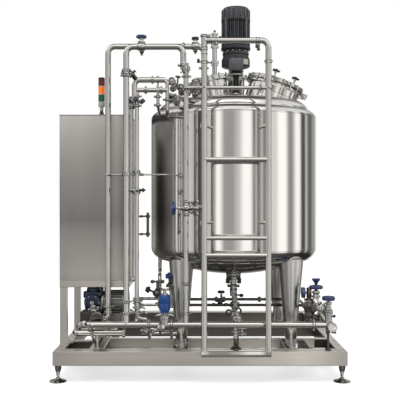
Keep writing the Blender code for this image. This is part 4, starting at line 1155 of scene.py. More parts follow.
def make_legs():
    base, end = SKID_TOP + 0.0003, 0.295
    top, foot = 0.108, 0.045
    for row, back in (("front", -LEG_SPREAD), ("rear", LEG_SPREAD)):
        for side, across in (("left", -LEG_SPREAD), ("right", LEG_SPREAD)):
            place = upright_at(TANK_X + across, TANK_BEHIND + back)
            profile = [(foot + 0.004, end + 0.135), (foot + 0.012, end + 0.14), (foot + 0.016, end + 0.15),
                       (foot + 0.017, end + 0.165), (top, WALL_BOTTOM - 0.095),
                       (top - 0.003, WALL_BOTTOM - 0.082), (top - 0.011, WALL_BOTTOM - 0.076)]
            shank = piece(f"leg_{row}_{side}", solid(place, profile, 56), leg_steel(),
                          stands_for=[f"tank_leg_{row}_{side}"])
            cut(shank, [vessel_cutter()])

            # The leg's lower tube slides in the shank, on a bolted plate with ribs.
            tube = [(0.055, base), (0.055, base + 0.008), (0.034, base + 0.01), (0.034, end + 0.004),
                    (foot + 0.002, end + 0.008), (foot + 0.006, end + 0.014), (foot + 0.006, end + 0.14)]
            lower = solid(place, tube, 40)
            for turn in turns(4, 45):
                rib = block((0.03, -0.004, base + 0.006), (0.054, 0.004, base + 0.036), 0.002, 1)
                collect(lower, rib, place @ turn)
            bolts(lower, 0.013, 4, 0.045, place, base + 0.008)
            piece(f"leg_foot_{row}_{side}", lower, leg_steel())


class TANK_OT_vessel(bpy.types.Operator):
    """Make the polished wall, both heads, the weld lines and the four legs"""
    bl_idname = "tank.vessel"
    bl_label = "Vessel and legs"

    def execute(self, context):
        make_vessel()
        return {"FINISHED"}


def make_manway():
    place = manway_place()
    flange = 0.022
    profile = [(MANWAY_BORE, -0.001), (MANWAY_BORE, -0.33), (MANWAY_NECK, -0.33), (MANWAY_NECK, -0.1),
               (MANWAY_NECK + 0.004, -0.095), (MANWAY_NECK + 0.004, -0.085), (MANWAY_NECK, -0.08),
               (MANWAY_NECK, -flange - 0.006), (MANWAY_NECK + 0.006, -flange),
               (MANWAY_FLANGE - 0.003, -flange), (MANWAY_FLANGE, -flange + 0.003), (MANWAY_FLANGE, -0.006),
               (MANWAY_FLANGE - 0.003, -0.003)]
    neck = piece("manway_collar", single(turned(profile, 96, closed=True), place), head_steel(),
                 stands_for=["manway_neck"])
    cut(neck, [vessel_cutter()])

    seal = [(MANWAY_BORE + 0.002, -0.003), (MANWAY_FLANGE - 0.0015, -0.003), (MANWAY_FLANGE + 0.001, 0.0),
            (MANWAY_FLANGE - 0.0015, 0.003), (MANWAY_BORE + 0.002, 0.002)]
    piece("manway_seal", single(turned(seal, 96, closed=True), place), black_plastic())

    cover = [(MANWAY_BORE - 0.004, 0.0005), (MANWAY_BORE - 0.002, 0.003), (MANWAY_FLANGE - 0.002, 0.003),
             (MANWAY_FLANGE, 0.006), (MANWAY_FLANGE, 0.024), (MANWAY_FLANGE - 0.004, 0.027),
             (MANWAY_FLANGE - 0.004, 0.03), (MANWAY_FLANGE, 0.033), (MANWAY_FLANGE, 0.038),
             (MANWAY_FLANGE - 0.006, 0.0435), (MANWAY_FLANGE - 0.026, 0.0445), (0.18, 0.0555), (0.1, 0.061),
             (0.0, 0.0625)]
    lid = solid(place, cover, 96)
    handle = [Vector((-0.1, 0.08, 0.05)), Vector((-0.1, 0.08, 0.098)), Vector((0.04, 0.08, 0.098)),
              Vector((0.04, 0.08, 0.05))]
    collect(lid, piped(handle, 0.007, 0.02, 14), place)
    barrel = [Vector((HINGE_R, -0.029, 0.01)), Vector((HINGE_R, 0.029, 0.01))]
    collect(lid, piped(barrel, 0.011, sides=20), place)
    collect(lid, block((MANWAY_FLANGE - 0.01, -0.028, 0.004), (HINGE_R, 0.028, 0.018), 0.002), place)
    piece("manway_cover_dished", lid, head_steel(), body="manway_cover",
          stands_for=["manway_lid"])

    # Fixed half of the hinge, with a pin through it.
    ears = bmesh.new()
    for side in (-1, 1):
        near, far = sorted((side * 0.031, side * 0.043))
        collect(ears, block((MANWAY_FLANGE - 0.012, near, -0.02), (HINGE_R + 0.012, far, 0.021), 0.003),
                place)
        head = aimed((HINGE_R, side * 0.043, 0.01), (0, side, 0))
        collect(ears, bolt_part(0.014), place @ head)
    piece("manway_hinge", ears, fitting_steel())

    # Clamps grip the lid's rim and travel with it. Two stems carry black lobed knobs.
    clamps, knobs = bmesh.new(), bmesh.new()
    count = 20
    for index in range(count):
        turn = math.tau * (index + 0.5) / count
        if math.cos(turn) > 0.95:
            continue
        spot = place @ Matrix.Rotation(turn, 4, "Z") @ shift(MANWAY_FLANGE - 0.012, 0, 0.042)
        collect(clamps, block((-0.014, -0.009, -0.004), (0.014, 0.009, 0.004), 0.002, 1), spot)
        collect(clamps, block((0.013, -0.007, -0.06), (0.021, 0.007, 0.003), 0.002, 1), spot)
        collect(clamps, ball(0.007), spot @ shift(0.018, 0, -0.046))
    for x, y, low in ((-0.038, -0.06, 0.062), (0.15, -0.05, 0.05)):
        stem = place @ shift(x, y, low)
        profile = [(0, -0.02), (0.02, -0.02), (0.02, 0.02), (0.008, 0.026), (0.008, 0.048), (0.014, 0.052),
                   (0.014, 0.066), (0, 0.066)]
        spun(clamps, stem, profile, 20)
        collect(knobs, knob_part(0.038, 0.014), stem @ shift(0, 0, 0.066))
        collect(knobs, ball(0.014, 0.6), stem @ shift(0, 0, 0.082))
    piece("manway_clamps", clamps, fitting_steel(), body="manway_cover")
    piece("manway_knobs", knobs, black_plastic(), body="manway_cover")


class TANK_OT_manway(bpy.types.Operator):
    """Make the hinged manway with its clamps, gasket and black knobs"""
    bl_idname = "tank.manway"
    bl_label = "Manway"

    def execute(self, context):
        make_manway()
        return {"FINISHED"}


def make_port():
    place = upright_at(PORT_X, PORT_BEHIND, PORT_TOP_Z) @ Matrix.Rotation(PORT_TILT, 4, "Y")
    profile = [(PORT_RADIUS, -0.32), (PORT_RADIUS, -0.05), (PORT_RIM - 0.006, -0.043), (PORT_RIM, -0.04),
               (PORT_RIM, -0.028), (PORT_RIM - 0.004, -0.025), (PORT_RIM - 0.004, -0.021), (PORT_RIM, -0.018),
               (PORT_RIM, -0.006), (PORT_RIM - 0.008, 0.0), (0.09, 0.008), (0.0, 0.012)]
    collar = piece("port_collar", solid(place, profile, 72), head_steel(),
                   stands_for=["left_port"])
    cut(collar, [vessel_cutter()])

    fittings = bmesh.new()
    for turn in turns(10, 18):
        spot = place @ turn @ shift(PORT_RIM, 0, -0.023)
        collect(fittings, block((-0.01, -0.008, -0.026), (0.007, 0.008, 0.026), 0.003, 1), spot)
        collect(fittings, bolt_part(0.012), spot @ shift(-0.002, 0, 0.026))
    for turn in turns(12):
        rib = block((PORT_RADIUS - 0.004, -0.003, -0.2), (PORT_RADIUS + 0.004, 0.003, -0.052), 0.001, 1)
        collect(fittings, rib, place @ turn)
    sight = aimed((-0.095, -0.05, 0.004), UP)
    spun(fittings, place @ sight, [(0.045, 0), (0.045, 0.016), (0.036, 0.022)], 32)
    piece("port_fittings", fittings, fitting_steel())

    riser = pipe(bmesh.new(), 0.021, (RISER_X, PORT_BEHIND, PORT_TOP_Z - 0.01),
                 (RISER_X, PORT_BEHIND, RISER_TOP_Z))
    for z, radius, half in ((2.734, 0.036, 0.01), (2.71, 0.033, 0.006), (2.927, 0.038, 0.011),
                            (2.9, 0.034, 0.007), (2.872, 0.036, 0.009), (2.99, 0.03, 0.009)):
        ring = [(0.018, z - half), (radius - 0.002, z - half), (radius, z - half + 0.002),
                (radius, z + half - 0.002), (radius - 0.002, z + half), (0.018, z + half)]
        looped(riser, upright_at(RISER_X, PORT_BEHIND), ring, 32)
    for height in (2.744, 2.938, 2.881):
        bolts(riser, 0.009, 6, 0.03, upright_at(RISER_X, PORT_BEHIND), height)
    stem = turned([(0, RISER_TOP_Z), (0.01, RISER_TOP_Z), (0.007, RISER_TOP_Z + 0.012),
                   (0, RISER_TOP_Z + 0.012)], 16)
    collect(riser, stem, upright_at(RISER_X, PORT_BEHIND))
    piece("riser_tube", riser, tube_steel())

    black = single(ball(0.011), upright_at(RISER_X, PORT_BEHIND, RISER_TOP_Z + 0.018))
    wing = at(RISER_X + 0.042, PORT_BEHIND - 0.01, 2.955)
    collect(black, block((-0.006, -0.004, -0.022), (0.018, 0.004, 0.018), 0.003), Matrix.Translation(wing))
    lever = [at(RISER_X - 0.03, PORT_BEHIND - 0.03, 2.725), at(-0.01, PORT_BEHIND - 0.06, 2.735)]
    collect(black, piped(lever, 0.006, sides=12))
    collect(black, block((-0.018, -0.006, -0.016), (0.006, 0.006, 0.022), 0.004),
            Matrix.Translation(lever[1]))
    piece("riser_knobs", black, black_plastic())


class TANK_OT_port(bpy.types.Operator):
    """Make the clamped port on the left of the top head, with its riser"""
    bl_idname = "tank.port"
    bl_label = "Left port and riser"

    def execute(self, context):
        make_port()
        return {"FINISHED"}


def make_drive_motor():
    place = upright_at(DRIVE_X, TANK_BEHIND)
    base, seam, top = GEARBOX_TOP_Z + 0.0003, 3.152, MOTOR_TOP_Z
    core, ring, wide, cover = 0.112, 0.122, 0.1365, 0.134
    profile = [(ring - 0.01, base), (ring - 0.002, base + 0.004), (ring, base + 0.008), (ring, base + 0.026),
               (ring - 0.006, base + 0.03), (core - 0.004, base + 0.036), (core - 0.004, base + 0.046),
               (wide - 0.004, base + 0.052), (wide, base + 0.058), (wide, base + 0.076),
               (wide - 0.005, base + 0.082), (core, base + 0.09), (core, seam + 0.01)]
    body, rails = solid(place, profile, 56), bmesh.new()
    for index, turn in enumerate(turns(44)):
        fin = block((core - 0.004, -0.0022, base + 0.084), (wide - 0.004, 0.0022, seam - 0.006), 0.0012, 1)
        collect(body if index % 2 else rails, fin, place @ turn)
    for turn in turns(4, 45):
        rail = block((core - 0.01, -0.008, base + 0.06), (wide, 0.008, seam - 0.002), 0.003)
        collect(rails, rail, place @ turn)
        for height in (base + 0.11, seam - 0.03):
            collect(rails, bolt_part(0.012), place @ turn @ aimed((wide - 0.003, 0, height), RIGHT))
    piece("motor_body", body, motor_enamel(), stands_for=["agitator_motor"])

    # Fan cover: a ribbed drum with a rounded crown and a slotted top, screwed on through a band.
    drum = [(core - 0.01, seam - 0.006), (cover - 0.004, seam - 0.006), (cover, seam - 0.002),
            (cover, seam + 0.01), (cover - 0.008, seam + 0.014), (cover - 0.008, top - 0.03),
            (cover - 0.011, top - 0.016), (cover - 0.019, top - 0.006), (cover - 0.034, top - 0.002),
            (cover - 0.05, top - 0.001), (0.0, top - 0.001)]
    fan = single(turned(drum, 72), place)
    for turn in turns(18, 10):
        rib = block((cover - 0.013, -0.0055, seam + 0.006), (cover, 0.0055, top - 0.022), 0.0025, 1)
        collect(rails, rib, place @ turn)
        slot = block((0.03, -0.004, top - 0.004), (cover - 0.04, 0.004, top - 0.0002), 0.001, 1)
        collect(fan, slot, place @ turn)
    piece("motor_fan_cover", fan, motor_enamel())
    seam_ring = [(cover - 0.02, seam - 0.013), (cover + 0.001, seam - 0.013), (cover + 0.001, seam - 0.004),
                 (cover - 0.02, seam - 0.004)]
    seams = single(turned(seam_ring, 56, closed=True), place)
    waist = [(core - 0.02, base + 0.032), (core + 0.002, base + 0.034), (core + 0.002, base + 0.049),
             (core - 0.02, base + 0.051)]
    looped(seams, place, waist, 56)
    piece("motor_seams", seams, black_plastic())
    piece("motor_ribs", rails, rail_enamel())
    screws = bmesh.new()
    for index in range(5):
        turn = rolled(-142 + 26 * index, "Z")
        collect(screws, ball(0.004), place @ turn @ shift(cover, 0, seam + 0.004))
        collect(screws, ball(0.004), place @ turn @ shift(ring, 0, base + 0.017))
    bolts(screws, 0.013, 12, ring - 0.008, place, base + 0.028, 15)
    piece("motor_screws", screws, fitting_steel())

    # Terminal box on the rear, with its gland.
    box_place = Matrix.Translation(at(DRIVE_X, TANK_BEHIND + 0.11, (base + seam) / 2 + 0.03))
    box = single(block((-0.055, -0.02, -0.055), (0.055, 0.055, 0.055), 0.006), box_place)
    spun(box, box_place @ aimed((0.055, 0.02, -0.02), RIGHT), [(0.014, 0), (0.014, 0.018), (0.009, 0.024)],
         20)
    for dx in (-0.045, 0.045):
        for dz in (-0.045, 0.045):
            collect(box, bolt_part(0.008), box_place @ aimed((dx, 0.0545, dz), BACK))
    piece("motor_terminal_box", box, motor_enamel())


def make_gearbox():
    place = upright_at(DRIVE_X, TANK_BEHIND)
    low, top, radius = LANTERN_TOP_Z + 0.0003, GEARBOX_TOP_Z, 0.131
    step, neck = low + 0.06, radius - 0.012
    profile = [(0.064, low), (0.064, low + 0.052), (radius - 0.012, step - 0.002),
               (radius - 0.003, step + 0.002), (radius, step + 0.008), (radius, top - 0.036),
               (radius - 0.006, top - 0.03), (neck, top - 0.026), (neck, top)]
    housing = solid(place, profile, 56)
    bolts(housing, 0.014, 10, radius - 0.01, place, top - 0.032, 18)
    piece("gearbox_housing", housing, motor_enamel(), stands_for=["agitator_gearbox"])
    cover = single(block((-0.068, -radius, low + 0.01), (0.064, -0.06, top - 0.04), 0.006), place)
    collect(cover, block((-0.056, -radius - 0.003, low + 0.022), (0.052, -radius + 0.01, top - 0.052), 0.003),
            place)
    for dx in (-0.062, 0.058):
        for z in (low + 0.018, top - 0.048):
            collect(cover, bolt_part(0.008), place @ aimed((dx, -radius, z), AHEAD))
    piece("gearbox_cover", cover, rail_enamel())
    bare = finish("bare_plate", (0.42, 0.38, 0.32), (0.3, 0.42), metallic=0.2, grain=(300.0, 0.05),
                  spread=0.3, scales=(60.0, 6.0))
    tag = block((radius - 0.006, -0.03, low + 0.07), (radius + 0.0008, 0.03, top - 0.044), 0.001, 1)
    piece("gearbox_tag", single(tag, place @ rolled(-48, "Z")), bare)


def make_lantern():
    place = upright_at(DRIVE_X, TANK_BEHIND)
    base, top = LANTERN_BASE_Z, LANTERN_TOP_Z
    nozzle = [(0.042, crown_top() - 0.05), (0.058, crown_top() - 0.05), (0.058, base - 0.012),
              (0.072, base - 0.01), (0.072, base - 0.0003), (0.042, base - 0.0003)]
    collar = piece("drive_nozzle", single(turned(nozzle, 48, closed=True), place), fitting_steel(),
                   stands_for=["agitator_nozzle"])
    cut(collar, [vessel_cutter()])
    foot = [(0.0575, crown_top() - 0.05), (0.086, crown_top() - 0.05), (0.086, crown_top() + 0.014),
            (0.0575, crown_top() + 0.022)]
    welt = piece("drive_nozzle_foot", single(turned(foot, 48, closed=True), place), dark_steel())
    cut(welt, [vessel_cutter()])

    # A blind nozzle stands behind the lantern.
    rear = upright_at(DRIVE_X + 0.02, TANK_BEHIND + 0.29)
    blind = [(0.08, crown_top() - 0.12), (0.08, base + 0.198), (0.118, base + 0.203), (0.118, base + 0.221),
             (0.0, base + 0.223)]
    whole = solid(rear, blind, 56)
    bolts(whole, 0.016, 12, 0.102, rear, base + 0.221, stand=0.02)
    blank = piece("rear_nozzle", whole, fitting_steel())
    cut(blank, [vessel_cutter()])
    whole = bmesh.new()
    for low, high in ((base, base + 0.018), (top - 0.02, top)):
        ring = [(0.04, low), (0.072, low), (0.074, low + 0.003), (0.074, high - 0.003), (0.072, high),
                (0.04, high)]
        looped(whole, place, ring, 48)
    for turn in turns(4, 45):
        post = block((0.04, -0.013, base + 0.014), (0.058, 0.013, top - 0.016), 0.004)
        collect(whole, post, place @ turn)
        lever = block((0.064, -0.006, top - 0.04), (0.092, 0.006, top - 0.028), 0.003)
        collect(whole, lever, place @ turn)
        arm = [Vector((0.082, 0, top - 0.075)), Vector((0.082, 0, top + 0.006))]
        collect(whole, piped(arm, 0.0055, sides=12), place @ turn)
        for height in (top - 0.052, top + 0.004):
            collect(whole, knob_part(0.017, 0.012, 4), place @ turn @ shift(0.082, 0, height))
    bolts(whole, 0.012, 8, 0.064, place, base + 0.018)
    piece("drive_lantern", whole, fitting_steel(), stands_for=["agitator_lantern"])
    # The black seal also fills the lantern's windows with painted shade between the posts.
    seal = [(0.024, base + 0.004), (0.046, base + 0.004), (0.046, base + 0.06), (0.032, base + 0.07),
            (0.032, top - 0.022), (0.024, top - 0.022)]
    piece("shaft_seal", single(turned(seal, 36, closed=True), place), black_plastic())


def make_shaft():
    place = upright_at(DRIVE_X, TANK_BEHIND)
    top = LANTERN_TOP_Z - 0.0006
    profile = [(0.0, IMPELLER_Z - 0.055), (0.04, IMPELLER_Z - 0.052), (0.045, IMPELLER_Z - 0.045),
               (0.045, IMPELLER_Z + 0.045), (0.036, IMPELLER_Z + 0.054), (0.022, IMPELLER_Z + 0.06),
               (0.022, top - 0.08), (0.0235, top - 0.078), (0.0235, top - 0.06), (0.022, top - 0.058),
               (0.022, top)]
    whole = solid(place, profile, 36)
    for turn in turns(3):
        blade = block((0.02, -0.036, -0.004), (0.23, 0.036, 0.004), 0.003)
        collect(whole, blade, place @ shift(0, 0, IMPELLER_Z) @ turn @ rolled(40, "X"))
    piece("shaft_and_impeller", whole, vessel_steel(), body="agitator",
          stands_for=["agitator_shaft"])


class TANK_OT_drive(bpy.types.Operator):
    """Make the agitator's motor, gearbox, lantern, shaft and impeller"""
    bl_idname = "tank.drive"
    bl_label = "Agitator drive"

    def execute(self, context):
        make_drive_motor()
        make_gearbox()
        make_lantern()
        make_shaft()
        return {"FINISHED"}


def make_ladder():
    ahead = -LADDER_AHEAD
    left, right = LADDER_LEFT_X, LADDER_RIGHT_X
    whole = pipe(bmesh.new(), LADDER_RADIUS, (left, ahead, LADDER_TOP_Z), (right, ahead, LADDER_TOP_Z),
                 (right, ahead, LADDER_FOOT_Z), bend=LADDER_BEND)
    pipe(whole, LADDER_RADIUS, (left, ahead, LADDER_FOOT_Z), (left, ahead, STILE_TOP_Z))
    for height, radius in ((1.043, 0.0205), (1.182, 0.0175), (1.813, 0.0225), (HANDRAIL_Z, 0.0155)):
        pipe(whole, radius, (left, ahead, height), (right, ahead, height))

    # The foot is a square tube, mitred at both corners.
    half = 0.0235
    slab(whole, at(left - half, ahead - half, LADDER_FOOT_Z - half),
         at(right + half, ahead + half, LADDER_FOOT_Z + half), 0.004)
    pipe(whole, 0.0145, (left, ahead, HANDRAIL_Z), (DROP_X, ahead, HANDRAIL_Z),
         (DROP_X, FRONT_PLANE - 0.022, HANDRAIL_Z), bend=0.04)
    for x in (left, right):
        pipe(whole, 0.012, (x, ahead, LADDER_FOOT_Z - 0.01), (x, 0.0, LADDER_FOOT_Z - 0.01), sides=16)
    piece("ladder_tube", whole, tube_steel(), stands_for=["ladder"])

    arms = bmesh.new()
    for x in (left, right):
        for level in (1.3, 2.1):
            end = math.sqrt(JACKET_RADIUS ** 2 - (x - TANK_X) ** 2)
            stop = TANK_BEHIND - end + 0.004
            pipe(arms, 0.014, (x, ahead, level), (x, stop, level), sides=16)
            pad = turned([(0, 0), (0.034, 0), (0.034, 0.005), (0, 0.005)], 24)
            collect(arms, pad, aimed(at(x, stop - 0.006, level), BACK))
    piece("ladder_arms", arms, tube_steel())

    # Ring clamps at the left stile's head and along the rail, then bolts through the rails.
    rings = bmesh.new()
    hoop = arc(LADDER_RADIUS + 0.001, 0.0, 0.0045, 0.0, 360.0, 8)[:-1]
    for z in (2.812, 2.797, 2.715, 2.695, 2.66):
        looped(rings, aimed(at(left, ahead, z), UP), hoop, 28)
    for x in (left + 0.03, left + 0.044, left + 0.058, left + 0.088, left + 0.104, right - 0.098,
              right - 0.076):
        looped(rings, aimed(at(x, ahead, LADDER_TOP_Z), RIGHT), hoop, 28)
    for x, z in ((left - 0.02, 2.8), (left + 0.04, 2.8), (left + 0.095, 2.736)):
        collect(rings, bolt_part(0.02, 0.016), aimed(at(x, ahead - 0.008, z), AHEAD + UP * 0.6))
    for x, z in ((left, LADDER_TOP_Z - 0.165), (left, HANDRAIL_Z), (right, HANDRAIL_Z)):
        spot = aimed(at(x, ahead - LADDER_RADIUS + 0.002, z), AHEAD)
        collect(rings, bolt_part(sizes().bolt * 0.8, 0.0035), spot)
    for x, z in ((left + 0.02, 2.16), (left, 1.813), (right, 1.813), (right, 2.12)):
        spot = aimed(at(x, ahead - LADDER_RADIUS + 0.003, z), AHEAD)
        spun(rings, spot, [(0.006, 0), (0.005, 0.003)], 12)
    for x in (left - 0.052, right - 0.065, right + 0.01):
        clamp(rings, 0.0155, (x, ahead, HANDRAIL_Z), RIGHT, DOWN)
    for z in (2.61, 2.59):
        looped(rings, aimed(at(right, ahead, z), UP), hoop, 28)
        looped(rings, aimed(at(left, ahead, z - 0.005), UP), hoop, 28)
    for x, z in ((right - 0.03, 2.6), (right + 0.03, 2.6), (left - 0.03, 2.595), (left + 0.029, 2.595)):
        collect(rings, bolt_part(0.01, 0.01), aimed(at(x, ahead - 0.01, z), AHEAD))
    piece("ladder_clamps", rings)
    heads = bmesh.new()
    for x in (left, right):
        spot = aimed(at(x, ahead - LADDER_RADIUS - 0.0025, HANDRAIL_Z), AHEAD)
        collect(heads, hexagon(0.01, 0.003), spot)
    hang = at(right - 0.087, ahead, LADDER_TOP_Z - 0.048)
    collect(heads, block((-0.018, -0.008, -0.012), (0.018, 0.008, 0.02), 0.004), Matrix.Translation(hang))
    collect(heads, ball(0.014), Matrix.Translation(hang + Vector((0.006, -0.004, -0.022))))
    piece("ladder_dark_bolts", heads, dark_steel())


class TANK_OT_ladder(bpy.types.Operator):
    """Make the welded ladder with its handrail, clamps and stand-off arms"""
    bl_idname = "tank.ladder"
    bl_label = "Ladder"

    def execute(self, context):
        make_ladder()
        return {"FINISHED"}


def union_part(radius, reach=0.04):
    """A slotted union nut between two liners."""
    rim = radius + 0.013
    profile = [(radius, -reach * 0.5), (radius + 0.004, -reach * 0.5), (radius + 0.004, -reach * 0.28),
               (rim, -reach * 0.24), (rim, reach * 0.3), (radius + 0.004, reach * 0.34),
               (radius + 0.004, reach * 0.5), (radius, reach * 0.5)]
    whole = single(turned(profile, 28, closed=True))
    for turn in turns(4, 45):
        notch = block((rim - 0.003, -0.005, -reach * 0.22), (rim + 0.0025, 0.005, reach * 0.28), 0.001, 1)
        collect(whole, notch, turn)
    return whole


def union(whole, place, direction, radius, reach=0.04):
    """Add a union at (x, behind, z)."""
    return collect(whole, union_part(radius, reach), aimed(at(*place), direction))


def add_valve(whole, middle, direction, radius, length, pipe_axis):
    """A valve on a pipe: swollen body with a bonnet on one side and a drain boss on the other."""
    body = [(radius, -radius * 2.0), (radius * 1.5, -radius * 1.3), (radius * 1.62, 0.0),
            (radius * 1.5, radius * 1.3), (radius, radius * 2.0)]
    spun(whole, aimed(middle, pipe_axis), body, 28)
    collect(whole, bonnet_part(length, radius * 0.95), aimed(middle + Vector(direction) * radius, direction))
    return whole


def make_feed():
    plane = REAR_PLANE
    whole = pipe(bmesh.new(), 0.0242, (FEED_X, plane, 0.5), (FEED_X, plane, FEED_TOP),
                 (FEED_DROP_X, plane, FEED_TOP), (FEED_DROP_X, plane, 2.255))
    pipe(whole, 0.024, (-0.83, plane, 0.49), (FEED_X, plane, 0.49), (FEED_X, plane, 0.56), bend=0.045)
    piece("feed_tube", whole, tube_steel(), stands_for=["feed_pipe"])
    fittings = bmesh.new()
    clamp(fittings, 0.0242, (FEED_X, plane, 0.59), UP, RIGHT)
    clamp(fittings, 0.0242, (FEED_DROP_X, plane, 2.6), UP, LEFT)
    clamp(fittings, 0.0242, (-0.14, plane, FEED_TOP), RIGHT, BACK)
    union(fittings, (FEED_X, plane, 0.545), UP, 0.0242)
    add_valve(fittings, at(-0.04, plane, FEED_TOP), UP, 0.02, 0.046, RIGHT)
    dark = single(ball(0.017), upright_at(-0.04, plane, FEED_TOP - 0.036))
    nut(dark, (-0.04, plane, FEED_TOP - 0.06), UP, 0.02, 0.014)
    piece("feed_fittings", fittings)
    piece("feed_drain", dark, dark_steel())


def make_return():
    plane = FRONT_PLANE
    piece("return_tube", pipe(bmesh.new(), 0.0245, (RETURN_X, plane, HEADER_Z), (RETURN_X, plane, RETURN_TOP),
                              (RETURN_DROP_X, plane, RETURN_TOP), (RETURN_DROP_X, plane, DROP_TOP)),
          tube_steel(), stands_for=["return_pipe"])
    fittings, dark = bmesh.new(), bmesh.new()
    clamp(fittings, 0.0245, (RETURN_X, plane, 0.56), UP, LEFT)
    clamp(fittings, 0.0245, (RETURN_X, plane, 0.655), UP, RIGHT)
    clamp(fittings, 0.0245, (RETURN_X, plane, 2.508), UP, LEFT)
    clamp(fittings, 0.0245, (RETURN_DROP_X, plane, 2.59), UP, LEFT)
    union(fittings, (RETURN_X, plane, 1.7), UP, 0.0245)
    union(fittings, (RETURN_X, plane, 2.548), UP, 0.0245, 0.034)
    for side in (-1, 1):
        bead(fittings, (RETURN_X + side * 0.034, plane, 2.53), 0.012)
    branch = [at(RETURN_X + 0.012, plane, 2.555), at(RETURN_X + 0.08, MIDDLE_PLANE, 2.484)]
    collect(dark, piped(branch, 0.019, sides=20))
    collect(dark, clamp_part(0.017), aimed(branch[0].lerp(branch[1], 0.45), branch[1] - branch[0], UP))
    add_valve(fittings, at(-0.481, plane, RETURN_TOP), UP, 0.021, 0.06, RIGHT)
    bead(dark, (-0.478, plane, RETURN_TOP - 0.04), 0.019)
    nut(dark, (-0.478, plane, RETURN_TOP - 0.07), UP, 0.022, 0.016)
    piece("return_fittings", fittings)
    piece("return_branch", dark, dark_steel())


def make_drop():
    plane = FRONT_PLANE
    piece("drop_tube", pipe(bmesh.new(), 0.021, (DROP_X, plane, HEADER_Z), (DROP_X, plane, DROP_TOP)),
          tube_steel(), stands_for=["drop_pipe"])
    fittings = bmesh.new()
    union(fittings, (DROP_X, plane, DROP_TOP + 0.003), UP, 0.023, 0.055)
    neck = (RETURN_DROP_X + DROP_X) / 2
    swell = [(0.0, -0.052), (0.023, -0.05), (0.028, -0.024), (0.031, -0.004), (0.028, 0.01), (0.031, 0.024),
             (0.026, 0.044), (0.0, 0.046)]
    spun(fittings, aimed(at(neck, plane, DROP_TOP + 0.012), (-0.25, 0, 1)), swell, 32)
    for dx, z in ((-0.032, 0.03), (0.032, -0.01), (0.028, 0.04), (-0.028, -0.03)):
        collect(fittings, bolt_part(0.011, 0.01), aimed(at(neck + dx, plane - 0.02, DROP_TOP + z), AHEAD))
    clamp(fittings, 0.021, (DROP_X, plane, 2.5), UP, RIGHT)
    clamp(fittings, 0.021, (DROP_X, plane, 0.8), UP, RIGHT)
    clamp(fittings, 0.021, (DROP_X, plane, 0.56), UP, RIGHT)
    clamp(fittings, 0.021, (DROP_X, plane, HANDRAIL_Z), UP, wing=False)
    for z in (1.368, 1.475):
        clamp(fittings, 0.02, (DROP_X, plane, z), UP, wing=False)

    # The eye-level valve: a ball body with a bonnet to the left and a sample branch to the right.
    middle = at(DROP_X, plane, 1.421)
    collect(fittings, ball(0.034), Matrix.Translation(middle))
    collect(fittings, bonnet_part(0.072, 0.015), aimed(middle + LEFT * 0.012, LEFT))
    sample = [middle, middle + RIGHT * 0.095]
    collect(fittings, piped(sample, 0.012, sides=16))
    for reach in (0.044, 0.078):
        collect(fittings, clamp_part(0.012, wing=False), aimed(middle + RIGHT * reach, RIGHT))
    collect(fittings, hexagon(0.02, 0.012), aimed(middle + RIGHT * 0.092, RIGHT))
    piece("drop_fittings", fittings)


